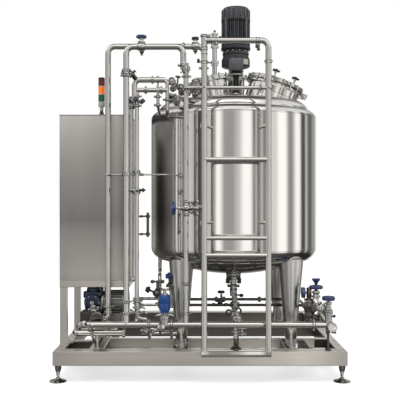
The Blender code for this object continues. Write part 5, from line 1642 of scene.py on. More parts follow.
def make_loop():
    plane = MIDDLE_PLANE
    whole = pipe(bmesh.new(), 0.0185, (LOOP_X, FRONT_PLANE, HEADER_Z), (LOOP_X, plane, HEADER_Z),
                 (LOOP_X, plane, 2.38), bend=0.036)
    pipe(whole, 0.0226, (LOOP_ELBOW_X, plane, 2.3), (LOOP_ELBOW_X, plane, LOOP_TOP),
         (LOOP_DROP_X - 0.02, plane, LOOP_TOP), bend=0.045)
    pipe(whole, 0.0155, (LOOP_DROP_X - 0.06, plane, LOOP_TOP), (LOOP_DROP_X, plane, LOOP_TOP),
         (LOOP_DROP_X, plane, LOOP_END_Z), (LOOP_DROP_X, 0.44, LOOP_END_Z), bend=0.04)
    pipe(whole, 0.0188, (LOOP_X, plane, LOOP_CROSS_Z), (LOOP_DROP_X, plane, LOOP_CROSS_Z))
    hanger_x = -0.35
    pipe(whole, 0.0125, (hanger_x, plane, LOOP_CROSS_Z), (hanger_x, plane, 2.265), (hanger_x, 0.43, 2.215),
         bend=0.03, sides=20)
    for z in (RISER_LOW - 0.025, RISER_HIGH + 0.025):
        pipe(whole, 0.0163, (LOOP_X, plane, z), (RISER_PIPE_X, RISER_BEHIND, z), sides=20)
    piece("loop_tube", whole, tube_steel(), stands_for=["loop_pipe"])
    piece("rear_riser", pipe(bmesh.new(), 0.0175, (RISER_PIPE_X, RISER_BEHIND, RISER_LOW - 0.03),
                             (RISER_PIPE_X, RISER_BEHIND, RISER_HIGH + 0.03)), tube_steel(),
          stands_for=["riser_pipe"])

    fittings = bmesh.new()
    pipe(fittings, 0.008, (hanger_x, plane, LOOP_CROSS_Z), (hanger_x, plane, LOOP_TOP + 0.034), sides=14)
    for z in (LOOP_TOP + 0.026, LOOP_CROSS_Z + 0.03, LOOP_CROSS_Z - 0.03):
        nut(fittings, (hanger_x, plane, z), UP, 0.026, 0.014, -0.007)
    clamp(fittings, 0.0185, (LOOP_X, plane, 0.67), UP, RIGHT)
    clamp(fittings, 0.0185, (LOOP_X, plane, 0.63), UP, RIGHT)
    clamp(fittings, 0.0125, (hanger_x, plane, 2.345), UP, LEFT)
    clamp(fittings, 0.0125, (hanger_x, plane, 2.275), UP, LEFT)
    clamp(fittings, 0.0155, (LOOP_DROP_X, plane, 2.32), UP, LEFT)
    for z in (1.55, 1.72):
        union(fittings, (LOOP_X, plane, z), UP, 0.0185)
    for z in (RISER_LOW - 0.025, RISER_HIGH + 0.025):
        union(fittings, (RISER_PIPE_X, RISER_BEHIND, z), UP, 0.0165, 0.05)
    for x, z in ((LOOP_X + 0.075, LOOP_CROSS_Z), (LOOP_X + 0.13, LOOP_TOP),
                 (LOOP_DROP_X - 0.05, LOOP_CROSS_Z)):
        union(fittings, (x, plane, z), RIGHT, 0.0195, 0.026)
    piece("loop_fittings", fittings)

    # Small hand valves side by side below the cross run, with dark lobed knobs.
    bodies, knobs = bmesh.new(), bmesh.new()
    for x, z, side in ((-0.572, 2.308, -0.4), (-0.532, 2.318, 0.0), (-0.488, 2.302, 0.4)):
        middle = at(x, plane - 0.012, z)
        collect(bodies, ball(0.021), Matrix.Translation(middle))
        stem = AHEAD + RIGHT * side
        spun(bodies, aimed(middle + stem * 0.014, stem),
             [(0.012, 0), (0.012, 0.01), (0.007, 0.012), (0.007, 0.034)], 20)
        collect(knobs, knob_part(0.021, 0.014, 4), aimed(middle + stem * 0.04, stem))
        collect(bodies, hexagon(0.012, 0.006), aimed(middle + stem * 0.053, stem))
    for z in (2.27, 2.348):
        clamp(bodies, 0.0185, (LOOP_X, plane, z), UP, RIGHT)
        clamp(bodies, 0.0175, (RISER_PIPE_X, RISER_BEHIND, z - 0.01), UP, LEFT)
    piece("twin_valve_bodies", bodies)
    navy = finish("navy_plastic", (0.006, 0.01, 0.036), (0.3, 0.45), metallic=0.0, grain=(900.0, 0.12),
                  spread=0.3, scales=(40.0, 40.0), coat=0.1)
    piece("twin_valve_knobs", knobs, navy)


def make_instruments():
    """Thin instrument line across the risers, with its unions and a small valve below."""
    plane, z = 0.15, 1.7
    left, right = -0.795, -0.272
    line = pipe(bmesh.new(), 0.0065, (left, plane, z), (right, plane, z), (right, 0.4, z), bend=0.03,
                sides=16)
    piece("instrument_line", line, tube_steel())
    fittings = bmesh.new()
    for x in (-0.752, -0.64, -0.566, -0.488, -0.352):
        nut(fittings, (x, plane, z), RIGHT, 0.02, 0.024, -0.012)
        spun(fittings, aimed(at(x, plane, z), RIGHT), [(0.0085, -0.02), (0.0085, 0.02)], 16)
    low = 1.57
    pipe(fittings, 0.011, (-0.64, plane - 0.06, low), (-0.487, plane - 0.03, low), sides=16)
    for x in (-0.628, -0.57, -0.52):
        clamp(fittings, 0.011, (x, plane - 0.05, low), RIGHT, wing=False)
    piece("instrument_fittings", fittings)
    black = single(block((-0.026, -0.007, -0.009), (0.026, 0.007, 0.009), 0.004),
                   upright_at(-0.478, plane - 0.055, low))
    collect(black, block((-0.007, -0.007, -0.018), (0.007, 0.007, 0.018), 0.003),
            upright_at(-0.472, plane - 0.055, low))
    piece("instrument_knob", black, black_plastic())

    # Dark side fitting on two arms, in front of the jacket's left edge.
    side = bmesh.new()
    x, back = -0.438, 0.17
    spun(side, upright_at(x, back), [(0.01, 1.178), (0.012, 1.2), (0.012, 1.36), (0.01, 1.384)], 20)
    for z in (1.204, 1.352):
        pipe(side, 0.0075, (LOOP_X, MIDDLE_PLANE, z), (x, back, z), sides=14)
        clamp(side, 0.01, (x, back, z), UP, wing=False)
        nut(side, (LOOP_X + 0.03, MIDDLE_PLANE + 0.017, z), RIGHT, 0.02, 0.016)
    piece("side_gauge", side, dark_steel())


def make_shoulder():
    """Small valves and elbows between the loop, the drop pipe and the port, over the tank's shoulder."""
    steel, dark = bmesh.new(), bmesh.new()
    pipe(steel, 0.0185, (LOOP_DROP_X, MIDDLE_PLANE, 2.47), (-0.205, 0.2, 2.455), (-0.15, 0.38, 2.43),
         (-0.1, 0.52, 2.43), bend=0.05, sides=20)
    pipe(steel, 0.0155, (LOOP_DROP_X + 0.01, MIDDLE_PLANE, 2.365), (-0.19, 0.22, 2.36), (-0.1, 0.4, 2.355),
         bend=0.05, sides=20)
    for x, back, z, radius in ((-0.236, 0.15, 2.478, 0.034), (-0.212, 0.2, 2.352, 0.03),
                               (-0.165, 0.3, 2.448, 0.036), (-0.05, 0.45, 2.455, 0.046)):
        bead(steel, (x, back, z), radius, 0.85)
        clamp(steel, radius - 0.012, (x, back - radius * 0.6, z), AHEAD, LEFT)
    for x, back, z in ((-0.226, 0.14, 2.415), (-0.196, 0.16, 2.3), (-0.158, 0.22, 2.395),
                       (-0.246, 0.18, 2.33), (-0.12, 0.34, 2.35)):
        spun(dark, aimed(at(x, back, z), AHEAD + Vector((x + 0.2, 0, 0)) * 2),
             [(0.026, 0), (0.028, 0.004), (0.026, 0.014), (0.012, 0.018)], 24)
        pipe(dark, 0.014, (x, back, z), (x, back + 0.08, z + 0.02), sides=14)
    collect(dark, knob_part(0.024, 0.016), aimed(at(-0.186, 0.17, 2.512), (0.2, -0.3, 1)))
    pipe(steel, 0.008, (-0.19, 0.19, 2.44), (-0.186, 0.172, 2.515), sides=14)
    for index, x in enumerate((0.035, 0.058, 0.082, 0.106)):
        spot = at(x + 0.02, 0.3 + 0.02 * index, 2.375 - 0.008 * index)
        collect(dark, ball(0.017, 0.9), Matrix.Translation(spot))
        collect(steel, piped([spot, spot + Vector((0.0, 0.06, 0.01))], 0.01, sides=12))
    nozzle = at(-0.05, 0.4, 2.475)
    spun(steel, aimed(nozzle, (-0.15, -0.75, 0.55)), [(0.046, 0), (0.048, 0.004), (0.048, 0.02), (0.04, 0.03),
                                                      (0, 0.032)], 32)
    piece("shoulder_fittings", steel)
    piece("shoulder_caps", dark, dark_steel())


class TANK_OT_pipework(bpy.types.Operator):
    """Make the feed, return, drop and loop pipes with their clamps and valves"""
    bl_idname = "tank.pipework"
    bl_label = "Upper pipework"

    def execute(self, context):
        make_feed()
        make_return()
        make_drop()
        make_loop()
        make_instruments()
        make_shoulder()
        return {"FINISHED"}


def make_header():
    plane = FRONT_PLANE
    whole = pipe(bmesh.new(), HEADER_RADIUS, (HEADER_LEFT, 0.145, HEADER_Z), (HEADER_LEFT, plane, HEADER_Z),
                 (HEADER_RIGHT, plane, HEADER_Z), bend=0.06)
    piece("header_tube", whole, tube_steel(), stands_for=["header_pipe"])

    fittings = bmesh.new()
    for x in (-0.419, -0.234, 0.93):
        clamp(fittings, HEADER_RADIUS, (x, plane, HEADER_Z), RIGHT, DOWN)
    for x in (0.02, 0.56):
        clamp(fittings, HEADER_RADIUS, (x, plane, HEADER_Z), RIGHT, wing=False)
    piece("header_fittings", fittings)

    # End valve: body with a bolted bonnet, a round end cover facing the front, and a foot.
    valve = bmesh.new()
    x = HEADER_RIGHT
    body = [(0.022, -0.046), (0.028, -0.03), (0.034, 0.0), (0.03, 0.05), (0.028, 0.086), (0.036, 0.088),
            (0.036, 0.102), (0.032, 0.104), (0.036, 0.106), (0.036, 0.118), (0.026, 0.124), (0.022, 0.165),
            (0.028, 0.17), (0.028, 0.188), (0.012, 0.192), (0.012, 0.2)]
    spun(valve, upright_at(x, plane, HEADER_Z), body, 36)
    bolts(valve, 0.01, 6, 0.03, upright_at(x, plane, HEADER_Z), 0.118)
    cover = [(0.038, 0), (0.04, 0.004), (0.04, 0.052), (0.036, 0.056), (0.03, 0.056), (0.028, 0.053)]
    disc = aimed(at(1.074, plane - 0.014, 0.456), AHEAD)
    spun(valve, disc, cover, 40)
    bolts(valve, 0.006, 8, 0.034, disc, 0.055)
    pipe(valve, 0.006, (1.07, plane - 0.03, 0.405), (1.1, plane - 0.045, 0.408), sides=12)
    foot = [(0.026, SKID_TOP), (0.026, SKID_TOP + 0.006), (0.01, SKID_TOP + 0.012), (0.01, HEADER_Z - 0.08),
            (0.018, HEADER_Z - 0.07), (0.018, HEADER_Z - 0.04)]
    piece("end_valve", valve)
    # The foot uses steel darkened with painted shade, for the shade under the header.
    piece("end_valve_foot", solid(upright_at(x, plane + 0.02), foot, 28), mill_steel())
    knob = single(ball(0.014), upright_at(1.097, plane - 0.01, 0.538))
    pipe(knob, 0.006, (1.075, plane, 0.53), (1.095, plane - 0.01, 0.538), sides=12)
    bead(knob, (1.1, plane - 0.045, 0.409), 0.009)
    piece("end_valve_knob", knob, wheel_plastic())


def make_actuator():
    plane = FRONT_PLANE
    place = upright_at(ACTUATOR_X, plane)
    body = [(0.026, -0.042), (0.034, -0.026), (0.036, 0.0), (0.034, 0.024), (0.03, 0.034), (0.042, 0.038),
            (0.042, 0.052), (0.038, 0.054), (0.042, 0.056), (0.042, 0.07), (0.028, 0.076), (0.03, 0.101)]
    whole = solid(upright_at(ACTUATOR_X, plane, HEADER_Z), body, 40)
    bolts(whole, 0.01, 8, 0.036, place, HEADER_Z + 0.07)
    cap = [(0.028, 0), (0.035, 0.004), (0.035, 0.03), (0.03, 0.038), (0.012, 0.042)]
    spun(whole, aimed(at(-0.316, plane - 0.014, 0.452), AHEAD), cap, 40)
    for side in (-1, 1):
        arm = [at(ACTUATOR_X, plane, 0.56), at(ACTUATOR_X + side * 0.062, plane - 0.01, 0.545)]
        collect(whole, piped(arm, 0.01, sides=16))
        collect(whole, hexagon(0.024, 0.016), aimed(arm[1], RIGHT * side))
    top = at(ACTUATOR_X, plane, 0.712)
    spun(whole, Matrix.Translation(top), [(0.03, 0), (0.03, 0.008), (0.016, 0.012), (0.014, 0.034),
                                          (0.02, 0.036), (0.02, 0.044), (0.01, 0.05)], 32)
    collect(whole, piped([top + UP * 0.036, top + UP * 0.04 + RIGHT * 0.03], 0.006, sides=12))
    piece("actuated_valve", whole)

    drum = [(0.034, 0.5663), (0.036, 0.57), (0.036, 0.582), (0.046, 0.588), (0.047, 0.594), (0.047, 0.64),
            (0.0455, 0.642), (0.047, 0.644), (0.047, 0.694), (0.044, 0.704), (0.036, 0.711)]
    shell = solid(place, drum, 44)
    for degrees in (-140, -40, 40, 140):
        spine = block((0.036, -0.006, 0.586), (0.0505, 0.006, 0.704), 0.003)
        collect(shell, spine, place @ rolled(degrees, "Z"))
    piece("actuator_drum", shell, actuator_enamel(), stands_for=["valve_actuator"])
    screws = bmesh.new()
    for index in range(5):
        spot = aimed(at(ACTUATOR_X + 0.002, plane - 0.0465, 0.6 + 0.02 * index), AHEAD)
        spun(screws, spot, [(0.007, 0), (0.006, 0.004)], 14)
    piece("actuator_screws", screws, dark_steel())


def make_lower_pipe():
    plane = 0.17
    whole = pipe(bmesh.new(), 0.025, (-1.056, 0.34, LOWER_PIPE_Z), (-1.056, plane, LOWER_PIPE_Z),
                 (-0.625, plane, LOWER_PIPE_Z), bend=0.06)
    piece("lower_tube", whole, tube_steel(), stands_for=["lower_pipe"])
    fittings = bmesh.new()
    clamp(fittings, 0.025, (-0.9, plane, LOWER_PIPE_Z), RIGHT, DOWN)
    cap = [(0.033, -0.018), (0.036, -0.012), (0.036, 0.004), (0.033, 0.0075), (0.0, 0.0078)]
    spun(fittings, aimed(at(-0.633, plane, LOWER_PIPE_Z), RIGHT), cap, 32)
    foot = at(-0.86, plane, SKID_TOP)
    collect(fittings, piped([foot, at(-0.86, plane, LOWER_PIPE_Z)], 0.0135, sides=18))
    spun(fittings, Matrix.Translation(foot), [(0.03, 0), (0.03, 0.006)], 24)
    piece("lower_fittings", fittings)


def make_right_group():
    plane = VALVE_PLANE
    x = UPPER_VALVE_X
    route = [at(HEADER_RIGHT, FRONT_PLANE + 0.02, 0.54), at(HEADER_RIGHT, plane, 0.54), at(x, plane, 0.64),
             at(x, plane, 0.7)]
    whole = single(piped(route, 0.024, 0.045))
    diagonal = [at(0.955, plane - 0.03, 0.655), at(1.035, FRONT_PLANE + 0.045, 0.49)]
    collect(whole, piped(diagonal, 0.021, sides=24))
    piece("right_group_tube", whole, tube_steel(), stands_for=["right_valve_group"])

    fittings, dark = bmesh.new(), bmesh.new()
    bonnet = [(0.03, 0.664), (0.036, 0.668), (0.036, 0.68), (0.026, 0.684), (0.022, 0.694), (0.03, 0.7),
              (0.034, 0.712), (0.03, 0.724), (0.014, 0.73), (0.012, 0.738)]
    spun(fittings, upright_at(x, plane), bonnet, 36)
    bolts(fittings, 0.01, 6, 0.031, upright_at(x, plane), 0.68)
    collect(fittings, clamp_part(0.024), aimed((route[1] + route[2]) / 2, route[2] - route[1], UP))
    along = (diagonal[1] - diagonal[0]).normalized()
    collect(fittings, clamp_part(0.021), aimed(diagonal[0] + along * 0.05, along, RIGHT))
    collect(fittings, union_part(0.021, 0.03), aimed(diagonal[0] + along * 0.12, along))
    cover = [(0.034, 0), (0.037, 0.004), (0.037, 0.016), (0.03, 0.022), (0.01, 0.024)]
    spun(fittings, aimed(at(1.012, FRONT_PLANE + 0.05, 0.59), AHEAD), cover, 36)
    bolts(fittings, 0.006, 6, 0.028, aimed(at(1.012, FRONT_PLANE + 0.05, 0.59), AHEAD), 0.018)

    # Side valve with an oblong dark head, and the dark unions under it.
    body_x = x - 0.059
    head = [(0, 0.664), (0.018, 0.666), (0.022, 0.674), (0.022, 0.742), (0.018, 0.752), (0, 0.756)]
    spun(dark, upright_at(body_x, plane), head, 28)
    spun(dark, aimed(at(body_x - 0.012, plane - 0.03, 0.608), AHEAD),
         [(0.04, 0), (0.043, 0.005), (0.043, 0.016), (0.03, 0.024)], 32)
    spun(dark, aimed(at(body_x + 0.036, plane - 0.05, 0.584), AHEAD + LEFT * 0.4),
         [(0.03, 0), (0.032, 0.005), (0.032, 0.014), (0, 0.018)], 28)
    for low, high, radius in ((0.556, 0.6, 0.026), (0.6, 0.664, 0.019)):
        spun(dark, upright_at(body_x, plane), [(radius, low), (radius, high)], 24)
    pipe(dark, 0.019, (body_x, plane, 0.612), (x, plane, 0.65), sides=20)
    for z in (0.562, 0.594, 0.65):
        clamp(dark, 0.022, (body_x, plane, z), UP, LEFT)
    pipe(dark, 0.009, (body_x, plane, SIDE_WHEEL_Z), (SIDE_WHEEL_X + 0.016, plane, SIDE_WHEEL_Z), sides=16)
    piece("right_group_fittings", fittings)
    piece("right_group_dark", dark, dark_steel())

    # A low dark box between the leg and the end valve.
    dark_box = single(block(at(0.905, 0.3, 0.4), at(0.985, 0.4, 0.545), 0.01))
    slab(dark_box, at(0.985, 0.31, 0.4), at(1.06, 0.39, 0.5), 0.01)
    piece("right_trap", dark_box, dark_steel())


def make_left_group():
    """Clamps, knobs and small valves on the risers to the left of the tank's front leg."""
    steel, dark, black, blue = bmesh.new(), bmesh.new(), bmesh.new(), bmesh.new()
    back = 0.33
    for x, radius, inner_x, inner in ((-0.348, 0.0165, -0.362, 0.6), (-0.245, 0.02, -0.245, back + 0.14)):
        pipe(steel, radius, (x, back, 0.56), (x, back, 0.84), (inner_x, inner, 0.84), (inner_x, inner, 1.0),
             bend=0.04, sides=24)
        clamp(steel, radius, (x, back, 0.72), UP, LEFT)
        clamp(steel, radius, (x, back, 0.6), UP, LEFT)
    pipe(steel, 0.014, (-0.56, 0.33, 0.64), (-0.16, 0.33, 0.64), sides=20)
    pipe(steel, 0.012, (-0.56, 0.33, 0.585), (-0.16, 0.33, 0.585), sides=20)
    cross = at(-0.365, 0.3, 0.79)
    for angle in (0, 90):
        bar = block((-0.046, -0.009, -0.009), (0.046, 0.009, 0.009), 0.005)
        collect(dark, bar, Matrix.Translation(cross) @ rolled(angle, "Z"))
    for side in (-1, 1):
        collect(dark, ball(0.017), Matrix.Translation(cross + RIGHT * side * 0.044))
    spun(dark, Matrix.Translation(cross), [(0.024, -0.11), (0.024, -0.07), (0.012, -0.06), (0.012, 0)], 20)
    bead(dark, (-0.372, 0.3, 0.69), 0.036, 0.9)
    collect(black, knob_part(0.03, 0.022), aimed(at(-0.437, 0.27, 0.722), (-0.6, -0.6, 0.3)))
    pipe(dark, 0.009, (-0.43, 0.28, 0.718), (-0.372, 0.3, 0.69), sides=14)
    tilt = Vector((-0.35, -0.55, 0.75))
    collect(blue, knob_part(0.036, 0.022, 6), aimed(at(-0.262, 0.285, 0.835), tilt))
    pipe(dark, 0.012, (-0.252, 0.29, 0.775), (-0.262, 0.285, 0.835), sides=14)
    for z in (0.79, 0.812):
        bead(dark, (-0.254, 0.285, z), 0.02, 0.6)
    spun(dark, upright_at(-0.252, 0.29, 0.745), [(0.04, 0), (0.044, 0.01), (0.03, 0.028), (0.014, 0.04)], 24)

    # The union that stands at the foot of the loop riser, and the clamp knobs on it.
    for z in (0.655, 0.6, 0.555):
        clamp(steel, 0.024, (-0.52, 0.1, z), UP, RIGHT)
    pipe(steel, 0.02, (-0.52, 0.1, 0.68), (-0.52, 0.1, 0.51), (-0.44, 0.1, 0.5), bend=0.04, sides=24)
    for x, z in ((-0.495, 0.64), (-0.47, 0.6), (-0.455, 0.56), (-0.56, 0.575)):
        collect(steel, block((-0.022, -0.005, -0.008), (0.022, 0.005, 0.008), 0.004), upright_at(x, 0.09, z) @
                rolled(35, "Y"))
    pipe(steel, 0.019, (-0.5, 0.3, 0.345), (-0.2, 0.3, 0.345), sides=24)
    for x in (-0.45, -0.4):
        union(steel, (x, 0.2, 0.395), RIGHT, 0.019, 0.034)
    pipe(steel, 0.017, (-0.5, 0.2, 0.395), (-0.26, 0.2, 0.395), sides=24)
    pipe(steel, 0.012, (-0.34, 0.2, 0.395), (-0.34, 0.3, 0.345), sides=16)
    for x in (-0.418, -0.236):
        pipe(steel, 0.01, (x, 0.065, 0.35), (x, 0.3, 0.345), sides=16)
    for x in (-0.418, -0.236):
        pipe(dark, 0.01, (x, 0.065, 0.345), (x, 0.065, HEADER_Z - 0.02), sides=14)
    piece("low_group_steel", steel)
    piece("low_group_dark", dark, dark_steel())
    piece("low_group_knob", black, black_plastic())
    piece("low_group_blue", blue, wheel_plastic())


class TANK_OT_header(bpy.types.Operator):
    """Make the front header, its actuated valve, the lower pipe and the right-hand valves"""
    bl_idname = "tank.header"
    bl_label = "Header and valves"

    def execute(self, context):
        make_header()
        make_actuator()
        make_lower_pipe()
        make_right_group()
        make_left_group()
        return {"FINISHED"}


def make_outlet():
    x, behind = TANK_X, TANK_BEHIND
    place = upright_at(x, behind)
    steel, dark, black = bmesh.new(), bmesh.new(), bmesh.new()
    stack = [(0.032, 0.6), (0.034, 0.625), (0.034, 0.66), (0.03, 0.665), (0.03, 0.69), (0.058, 0.692),
             (0.06, 0.7), (0.056, 0.708), (0.03, 0.712), (0.028, 0.735), (0.05, 0.738), (0.052, 0.746),
             (0.048, 0.756), (0.028, 0.76), (0.028, 0.78), (0.066, 0.786), (0.07, 0.794), (0.07, 0.806),
             (0.06, 0.812), (0.04, 0.822), (0.03, 0.86)]
    column = piece("outlet_column", solid(place, stack, 40), stands_for=["outlet_stack"])
    cut(column, [vessel_cutter()])
    looped(steel, place, [(0.029, 0.742), (0.036, 0.744), (0.036, 0.775), (0.029, 0.778)], 32)
    bolts(dark, 0.014, 8, 0.06, place @ Matrix.Diagonal((1, 1, -1, 1)), -0.786)

    # Black wings and handles of the clamps, to the left and the right.
    for z, reach, tall in ((0.778, 0.066, 0.02), (0.742, 0.072, 0.05), (0.692, 0.056, 0.022),
                           (0.664, 0.036, 0.018)):
        for side in (-1, 1):
            wing = block((reach * 0.45, -0.01, -tall / 2), (reach, 0.01, tall / 2), 0.005)
            collect(black, wing, place @ shift(0, -0.02, z) @
                    Matrix.Rotation(0 if side > 0 else math.pi, 4, "Z"))
    bead(black, (x + 0.072, behind - 0.03, 0.607), 0.021, 0.8)
    pipe(dark, 0.008, (x, behind, 0.612), (x + 0.07, behind - 0.03, 0.607), sides=14)

    # Tee, elbow ring and the line that runs forward to the header.
    for side, z in ((-1, 0.455), (1, 0.47)):
        hoop = arc(0.021, 0.0, 0.009, 0.0, 360.0, 12)[:-1]
        looped(dark, aimed(at(x + side * 0.046, behind - 0.05, z), AHEAD), hoop, 32)
    pipe(steel, 0.026, (x + 0.01, behind, 0.6), (x + 0.01, behind, 0.4), sides=28)
    pipe(steel, 0.027, (x, behind, HEADER_Z), (x, FRONT_PLANE, HEADER_Z), sides=28)
    for z in (0.535, 0.5, 0.428):
        clamp(steel, 0.026, (x + 0.01, behind, z), UP, RIGHT)
    for back in (0.62, 0.4, 0.22):
        clamp(steel, 0.027, (x, back, HEADER_Z), BACK, RIGHT)

    # Clamps and a branch in front of the header, then the stub down to the skid.
    for dx, z in ((0.0, 0.4), (0.052, 0.43), (0.05, 0.38)):
        clamp(steel, 0.018, (x - 0.015 + dx, 0.1, z), UP, RIGHT)
    pipe(steel, 0.018, (x - 0.015, 0.1, 0.5), (x - 0.015, 0.1, 0.345), sides=24)
    pipe(steel, 0.012, (x + 0.035, 0.1, 0.46), (x + 0.035, 0.1, 0.36), sides=20)
    pipe(dark, 0.022, (x - 0.01, 0.11, 0.37), (x - 0.01, 0.11, SKID_TOP), sides=24)
    spun(dark, upright_at(x - 0.01, 0.112), [(0.045, SKID_TOP), (0.045, SKID_TOP + 0.008),
                                             (0.03, SKID_TOP + 0.02)], 28)

    # Two thin cross lines behind turn forward to the right-hand valves, with unions. Then the wheel's stem.
    for z, end_x, end_behind in ((0.567, UPPER_VALVE_X - 0.059, VALVE_PLANE), (0.514, 0.945, 0.38)):
        pipe(dark, 0.0135, (-0.3, behind, z), (end_x, behind, z), (end_x, end_behind, z), sides=20)
    for dx in (-0.16, -0.09, 0.24):
        union(dark, (x + dx, behind, 0.567), RIGHT, 0.0135, 0.034)
    wheel_x = 0.196
    pipe(dark, 0.01, (wheel_x, behind, 0.53), (wheel_x, behind, 0.618), sides=16)
    bead(dark, (wheel_x - 0.01, behind, 0.545), 0.026)
    for dx in (-0.07, -0.022, 0.045):
        bead(dark, (wheel_x + dx, behind - 0.02, 0.52), 0.022, 0.8)
    piece("outlet_steel", steel)
    piece("outlet_dark", dark, dark_steel())
    piece("outlet_wings", black, black_plastic())


class TANK_OT_outlet(bpy.types.Operator):
    """Make the outlet valve stack under the dish, with its lines"""
    bl_idname = "tank.outlet"
    bl_label = "Outlet stack"

    def execute(self, context):
        make_outlet()
        return {"FINISHED"}


def make_wheels():
    wheels = [
        ("return_handwheel", "return_wheel", at(-0.481, FRONT_PLANE, 2.826), UP, 0.043, 0.026, 6, "blue"),
        ("feed_handwheel", "feed_wheel", at(-0.04, REAR_PLANE, 2.851), UP, 0.032, 0.026, 5, "black"),
        ("drop_handwheel", "drop_wheel", at(-0.215, FRONT_PLANE, 1.421), LEFT, 0.055, 0.034, 8, "blue"),
        ("end_handwheel", "end_wheel", at(HEADER_RIGHT, FRONT_PLANE, 0.682), UP, 0.054, 0.04, 8, "blue"),
        ("upper_handwheel", "upper_wheel", at(UPPER_VALVE_X, VALVE_PLANE, 0.755), UP, 0.059, 0.034, 8,
         "blue"),
        ("side_handwheel", "side_wheel", at(SIDE_WHEEL_X, VALVE_PLANE, SIDE_WHEEL_Z), LEFT, 0.049, 0.036, 6,
         "blue"),
        ("outlet_handwheel", "outlet_wheel", at(0.196, TANK_BEHIND, 0.635), UP, 0.035, 0.026, 5, "black")]
    looks = {"blue": (wheel_plastic(), "wheel_blue"), "black": (black_plastic(), "wheel_black")}
    for node, body, middle, axis, radius, thickness, lobes, look in wheels:
        material, slot = looks[look]
        place = aimed(middle, axis)
        whole = single(wheel_part(radius, thickness, lobes), place)
        if node == "upper_handwheel":
            knob = [(0, 0.01), (0.013, 0.012), (0.013, 0.03), (0.02, 0.044), (0.034, 0.06), (0.036, 0.068),
                    (0.03, 0.074), (0, 0.076)]
            spun(whole, place, knob, 28)
        piece(node + "_moulded", whole, material, body=body, stands_for=[node])
        cap = [(radius * 0.14, thickness * 0.36), (radius * 0.12, thickness * 0.6), (0, thickness * 0.62)]
        piece(node + "_nut", solid(place, cap, 16), body=body)


class TANK_OT_wheels(bpy.types.Operator):
    """Make the seven handwheels, each on its own stem"""
    bl_idname = "tank.wheels"
    bl_label = "Handwheels"

    def execute(self, context):
        make_wheels()
        return {"FINISHED"}


def make_pump_motor():
    low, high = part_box("pump_motor")
    radius, back = 0.11, 0.39
    place = aimed(at(low.x, back, 0.6), RIGHT)
    length = high.x - low.x
    profile = [(0.096, 0), (0.098, 0.004), (0.098, 0.014), (0.088, 0.02), (0.088, length - 0.052),
               (radius - 0.002, length - 0.05), (radius, length - 0.046), (radius, length - 0.016),
               (radius - 0.014, length - 0.002), (0, length - 0.001)]
    body = solid(place, profile, 48)
    for turn in turns(24, 7.5):
        fin = block((0.084, -0.0028, 0.018), (0.1085, 0.0028, length - 0.052), 0.0012, 1)
        collect(body, fin, place @ turn)
    slab(body, at(-0.79, 0.33, 0.4503), at(-0.68, 0.45, 0.535), 0.004)
    piece("pump_motor_ribbed", body, cast_grey(), stands_for=["pump_motor"])


def make_pump_head():
    low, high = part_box("pump_head")
    # The case is a near-black box: painted shade.
    case_box = single(block(low + Vector((0.004, 0.02, 0.004)), high - Vector((0.004, 0, 0.004)), 0.018, 3))
    piece("pump_case", case_box, pit_paint(), stands_for=["pump_head"])
    whole, covers = bmesh.new(), bmesh.new()
    case = [(0.05, 0), (0.054, 0.006), (0.054, 0.02), (0.044, 0.028), (0.042, 0.024), (0.026, 0.024),
            (0.024, 0.03), (0, 0.032)]
    centre = at(-0.866, 0.186, 0.497)
    spun(covers, aimed(centre, AHEAD), case, 44)
    bolts(whole, 0.01, 8, 0.048, aimed(centre, AHEAD), 0.02)
    second = at(-0.968, 0.186, 0.438)
    spun(whole, aimed(second, AHEAD), [(0.04, 0), (0.043, 0.006), (0.043, 0.018), (0.026, 0.03), (0, 0.032)],
         36)
    pipe(whole, 0.026, (-0.968, 0.21, 0.445), (-1.012, 0.2, 0.445), (-1.03, 0.24, 0.39), bend=0.03, sides=24)
    for point, axis in ((at(-0.99, 0.205, 0.445), RIGHT), (at(-0.895, 0.215, 0.56), UP)):
        collect(whole, clamp_part(0.026), aimed(point, axis, AHEAD))
    for x, z in ((-0.935, 0.555), (-0.9, 0.585), (-0.865, 0.572), (-0.955, 0.52)):
        bead(whole, (x, 0.235, z), 0.019)
        nut(whole, (x, 0.222, z), AHEAD, 0.02, 0.014)
    piece("pump_covers", covers, dark_steel())
    piece("pump_unions", whole)
    dress(["pump_base"], upright_steel())
    base_low, base_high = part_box("pump_base")
    heads = bmesh.new()
    for x in (base_low.x + 0.03, base_high.x - 0.03):
        for y in (base_low.y + 0.012, base_high.y - 0.012):
            collect(heads, bolt_part(0.014), shift(x, y, base_high.z - 0.004))
    piece("pump_base_bolts", heads)


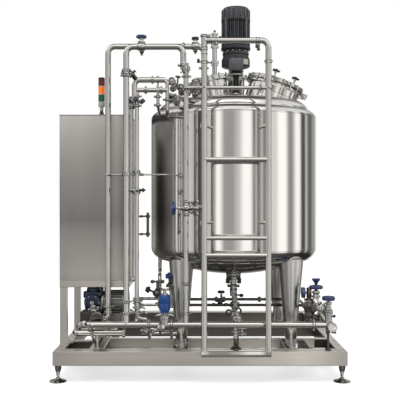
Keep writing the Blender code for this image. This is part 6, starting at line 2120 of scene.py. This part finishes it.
def make_gear_unit():
    low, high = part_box("pump_gearbox")
    middle = (low + high) / 2
    gear = single(block(low + Vector((0.018, 0.0, 0.0)), high - Vector((0.018, 0.0, 0.052)), 0.016, 3))
    crown = block((low.x + 0.006, low.y + 0.01, high.z - 0.072),
                  (high.x - 0.002, high.y - 0.01, high.z - 0.034), 0.008)
    collect(gear, crown)
    spun(gear, shift(middle.x, middle.y, 0),
         [(0.06, high.z - 0.04), (0.062, high.z - 0.03), (0.058, high.z - 0.004), (0.045, high.z)], 32)
    for dx in (-0.066, 0.066):
        for dz in (-0.09, -0.02, 0.05):
            spot = aimed((middle.x + dx * 0.85, low.y + 0.003, middle.z + dz), AHEAD)
            collect(gear, bolt_part(0.015), spot)
        slab(gear, (middle.x + dx * 1.1 - 0.009, low.y + 0.03, high.z - 0.085),
             (middle.x + dx * 1.1 + 0.009, low.y + 0.09, high.z - 0.03), 0.005)
    face = [(0.07, 0), (0.073, 0.006), (0.066, 0.018), (0.046, 0.022), (0.044, 0.018)]
    spot = at(-0.922, low.y - FRONT_Y + 0.004, 0.612)
    spun(gear, aimed(spot, AHEAD), face, 36)
    piece("gear_unit", gear, pump_enamel(), stands_for=["pump_gearbox"])
    boss = solid(aimed(spot + AHEAD * 0.018, AHEAD), [(0.02, 0), (0.021, 0.006), (0.016, 0.02), (0, 0.022)],
                 28)
    bolts(boss, 0.01, 6, 0.056, aimed(spot + AHEAD * 0.018, AHEAD))
    spun(boss, Matrix.Translation(spot + AHEAD * 0.03),
         [(0.014, -0.09), (0.02, -0.06), (0.013, -0.04), (0.018, -0.01), (0, 0.0)], 20)
    piece("gear_boss", boss)


class TANK_OT_pump(bpy.types.Operator):
    """Make the pump: rotor case, gear unit, finned motor and base"""
    bl_idname = "tank.pump"
    bl_label = "Pump"

    def execute(self, context):
        make_gear_unit()
        make_pump_motor()
        make_pump_head()
        return {"FINISHED"}


class TANK_PT_panel(bpy.types.Panel):
    """Lists the pieces of the mixing tank"""
    bl_idname = "TANK_PT_panel"
    bl_label = "Mixing Tank"
    bl_space_type = "VIEW_3D"
    bl_region_type = "UI"
    bl_category = "Mixing Tank"

    def draw(self, context):
        for group in (context.scene.tank_sizes, context.scene.tank_colours):
            for name in group.__annotations__:
                self.layout.prop(group, name)
        for step in STEPS:
            self.layout.operator(step.bl_idname)


STEPS = (TANK_OT_stage, TANK_OT_skid, TANK_OT_cabinet, TANK_OT_vessel, TANK_OT_manway, TANK_OT_port,
         TANK_OT_drive, TANK_OT_ladder, TANK_OT_pipework, TANK_OT_header, TANK_OT_outlet, TANK_OT_wheels,
         TANK_OT_pump)
CLASSES = (TankSizes, TankColours, *STEPS, TANK_PT_panel)


def register():
    for each in CLASSES:
        bpy.utils.register_class(each)
    bpy.types.Scene.tank_sizes = PointerProperty(type=TankSizes)
    bpy.types.Scene.tank_colours = PointerProperty(type=TankColours)


def unregister():
    del bpy.types.Scene.tank_colours
    del bpy.types.Scene.tank_sizes
    for each in reversed(CLASSES):
        bpy.utils.unregister_class(each)


def main():
    register()
    for step in STEPS:
        section, action = step.bl_idname.split(".")
        getattr(getattr(bpy.ops, section), action)()
    bpy.context.view_layer.update()


if __name__ == "__main__":
    main()
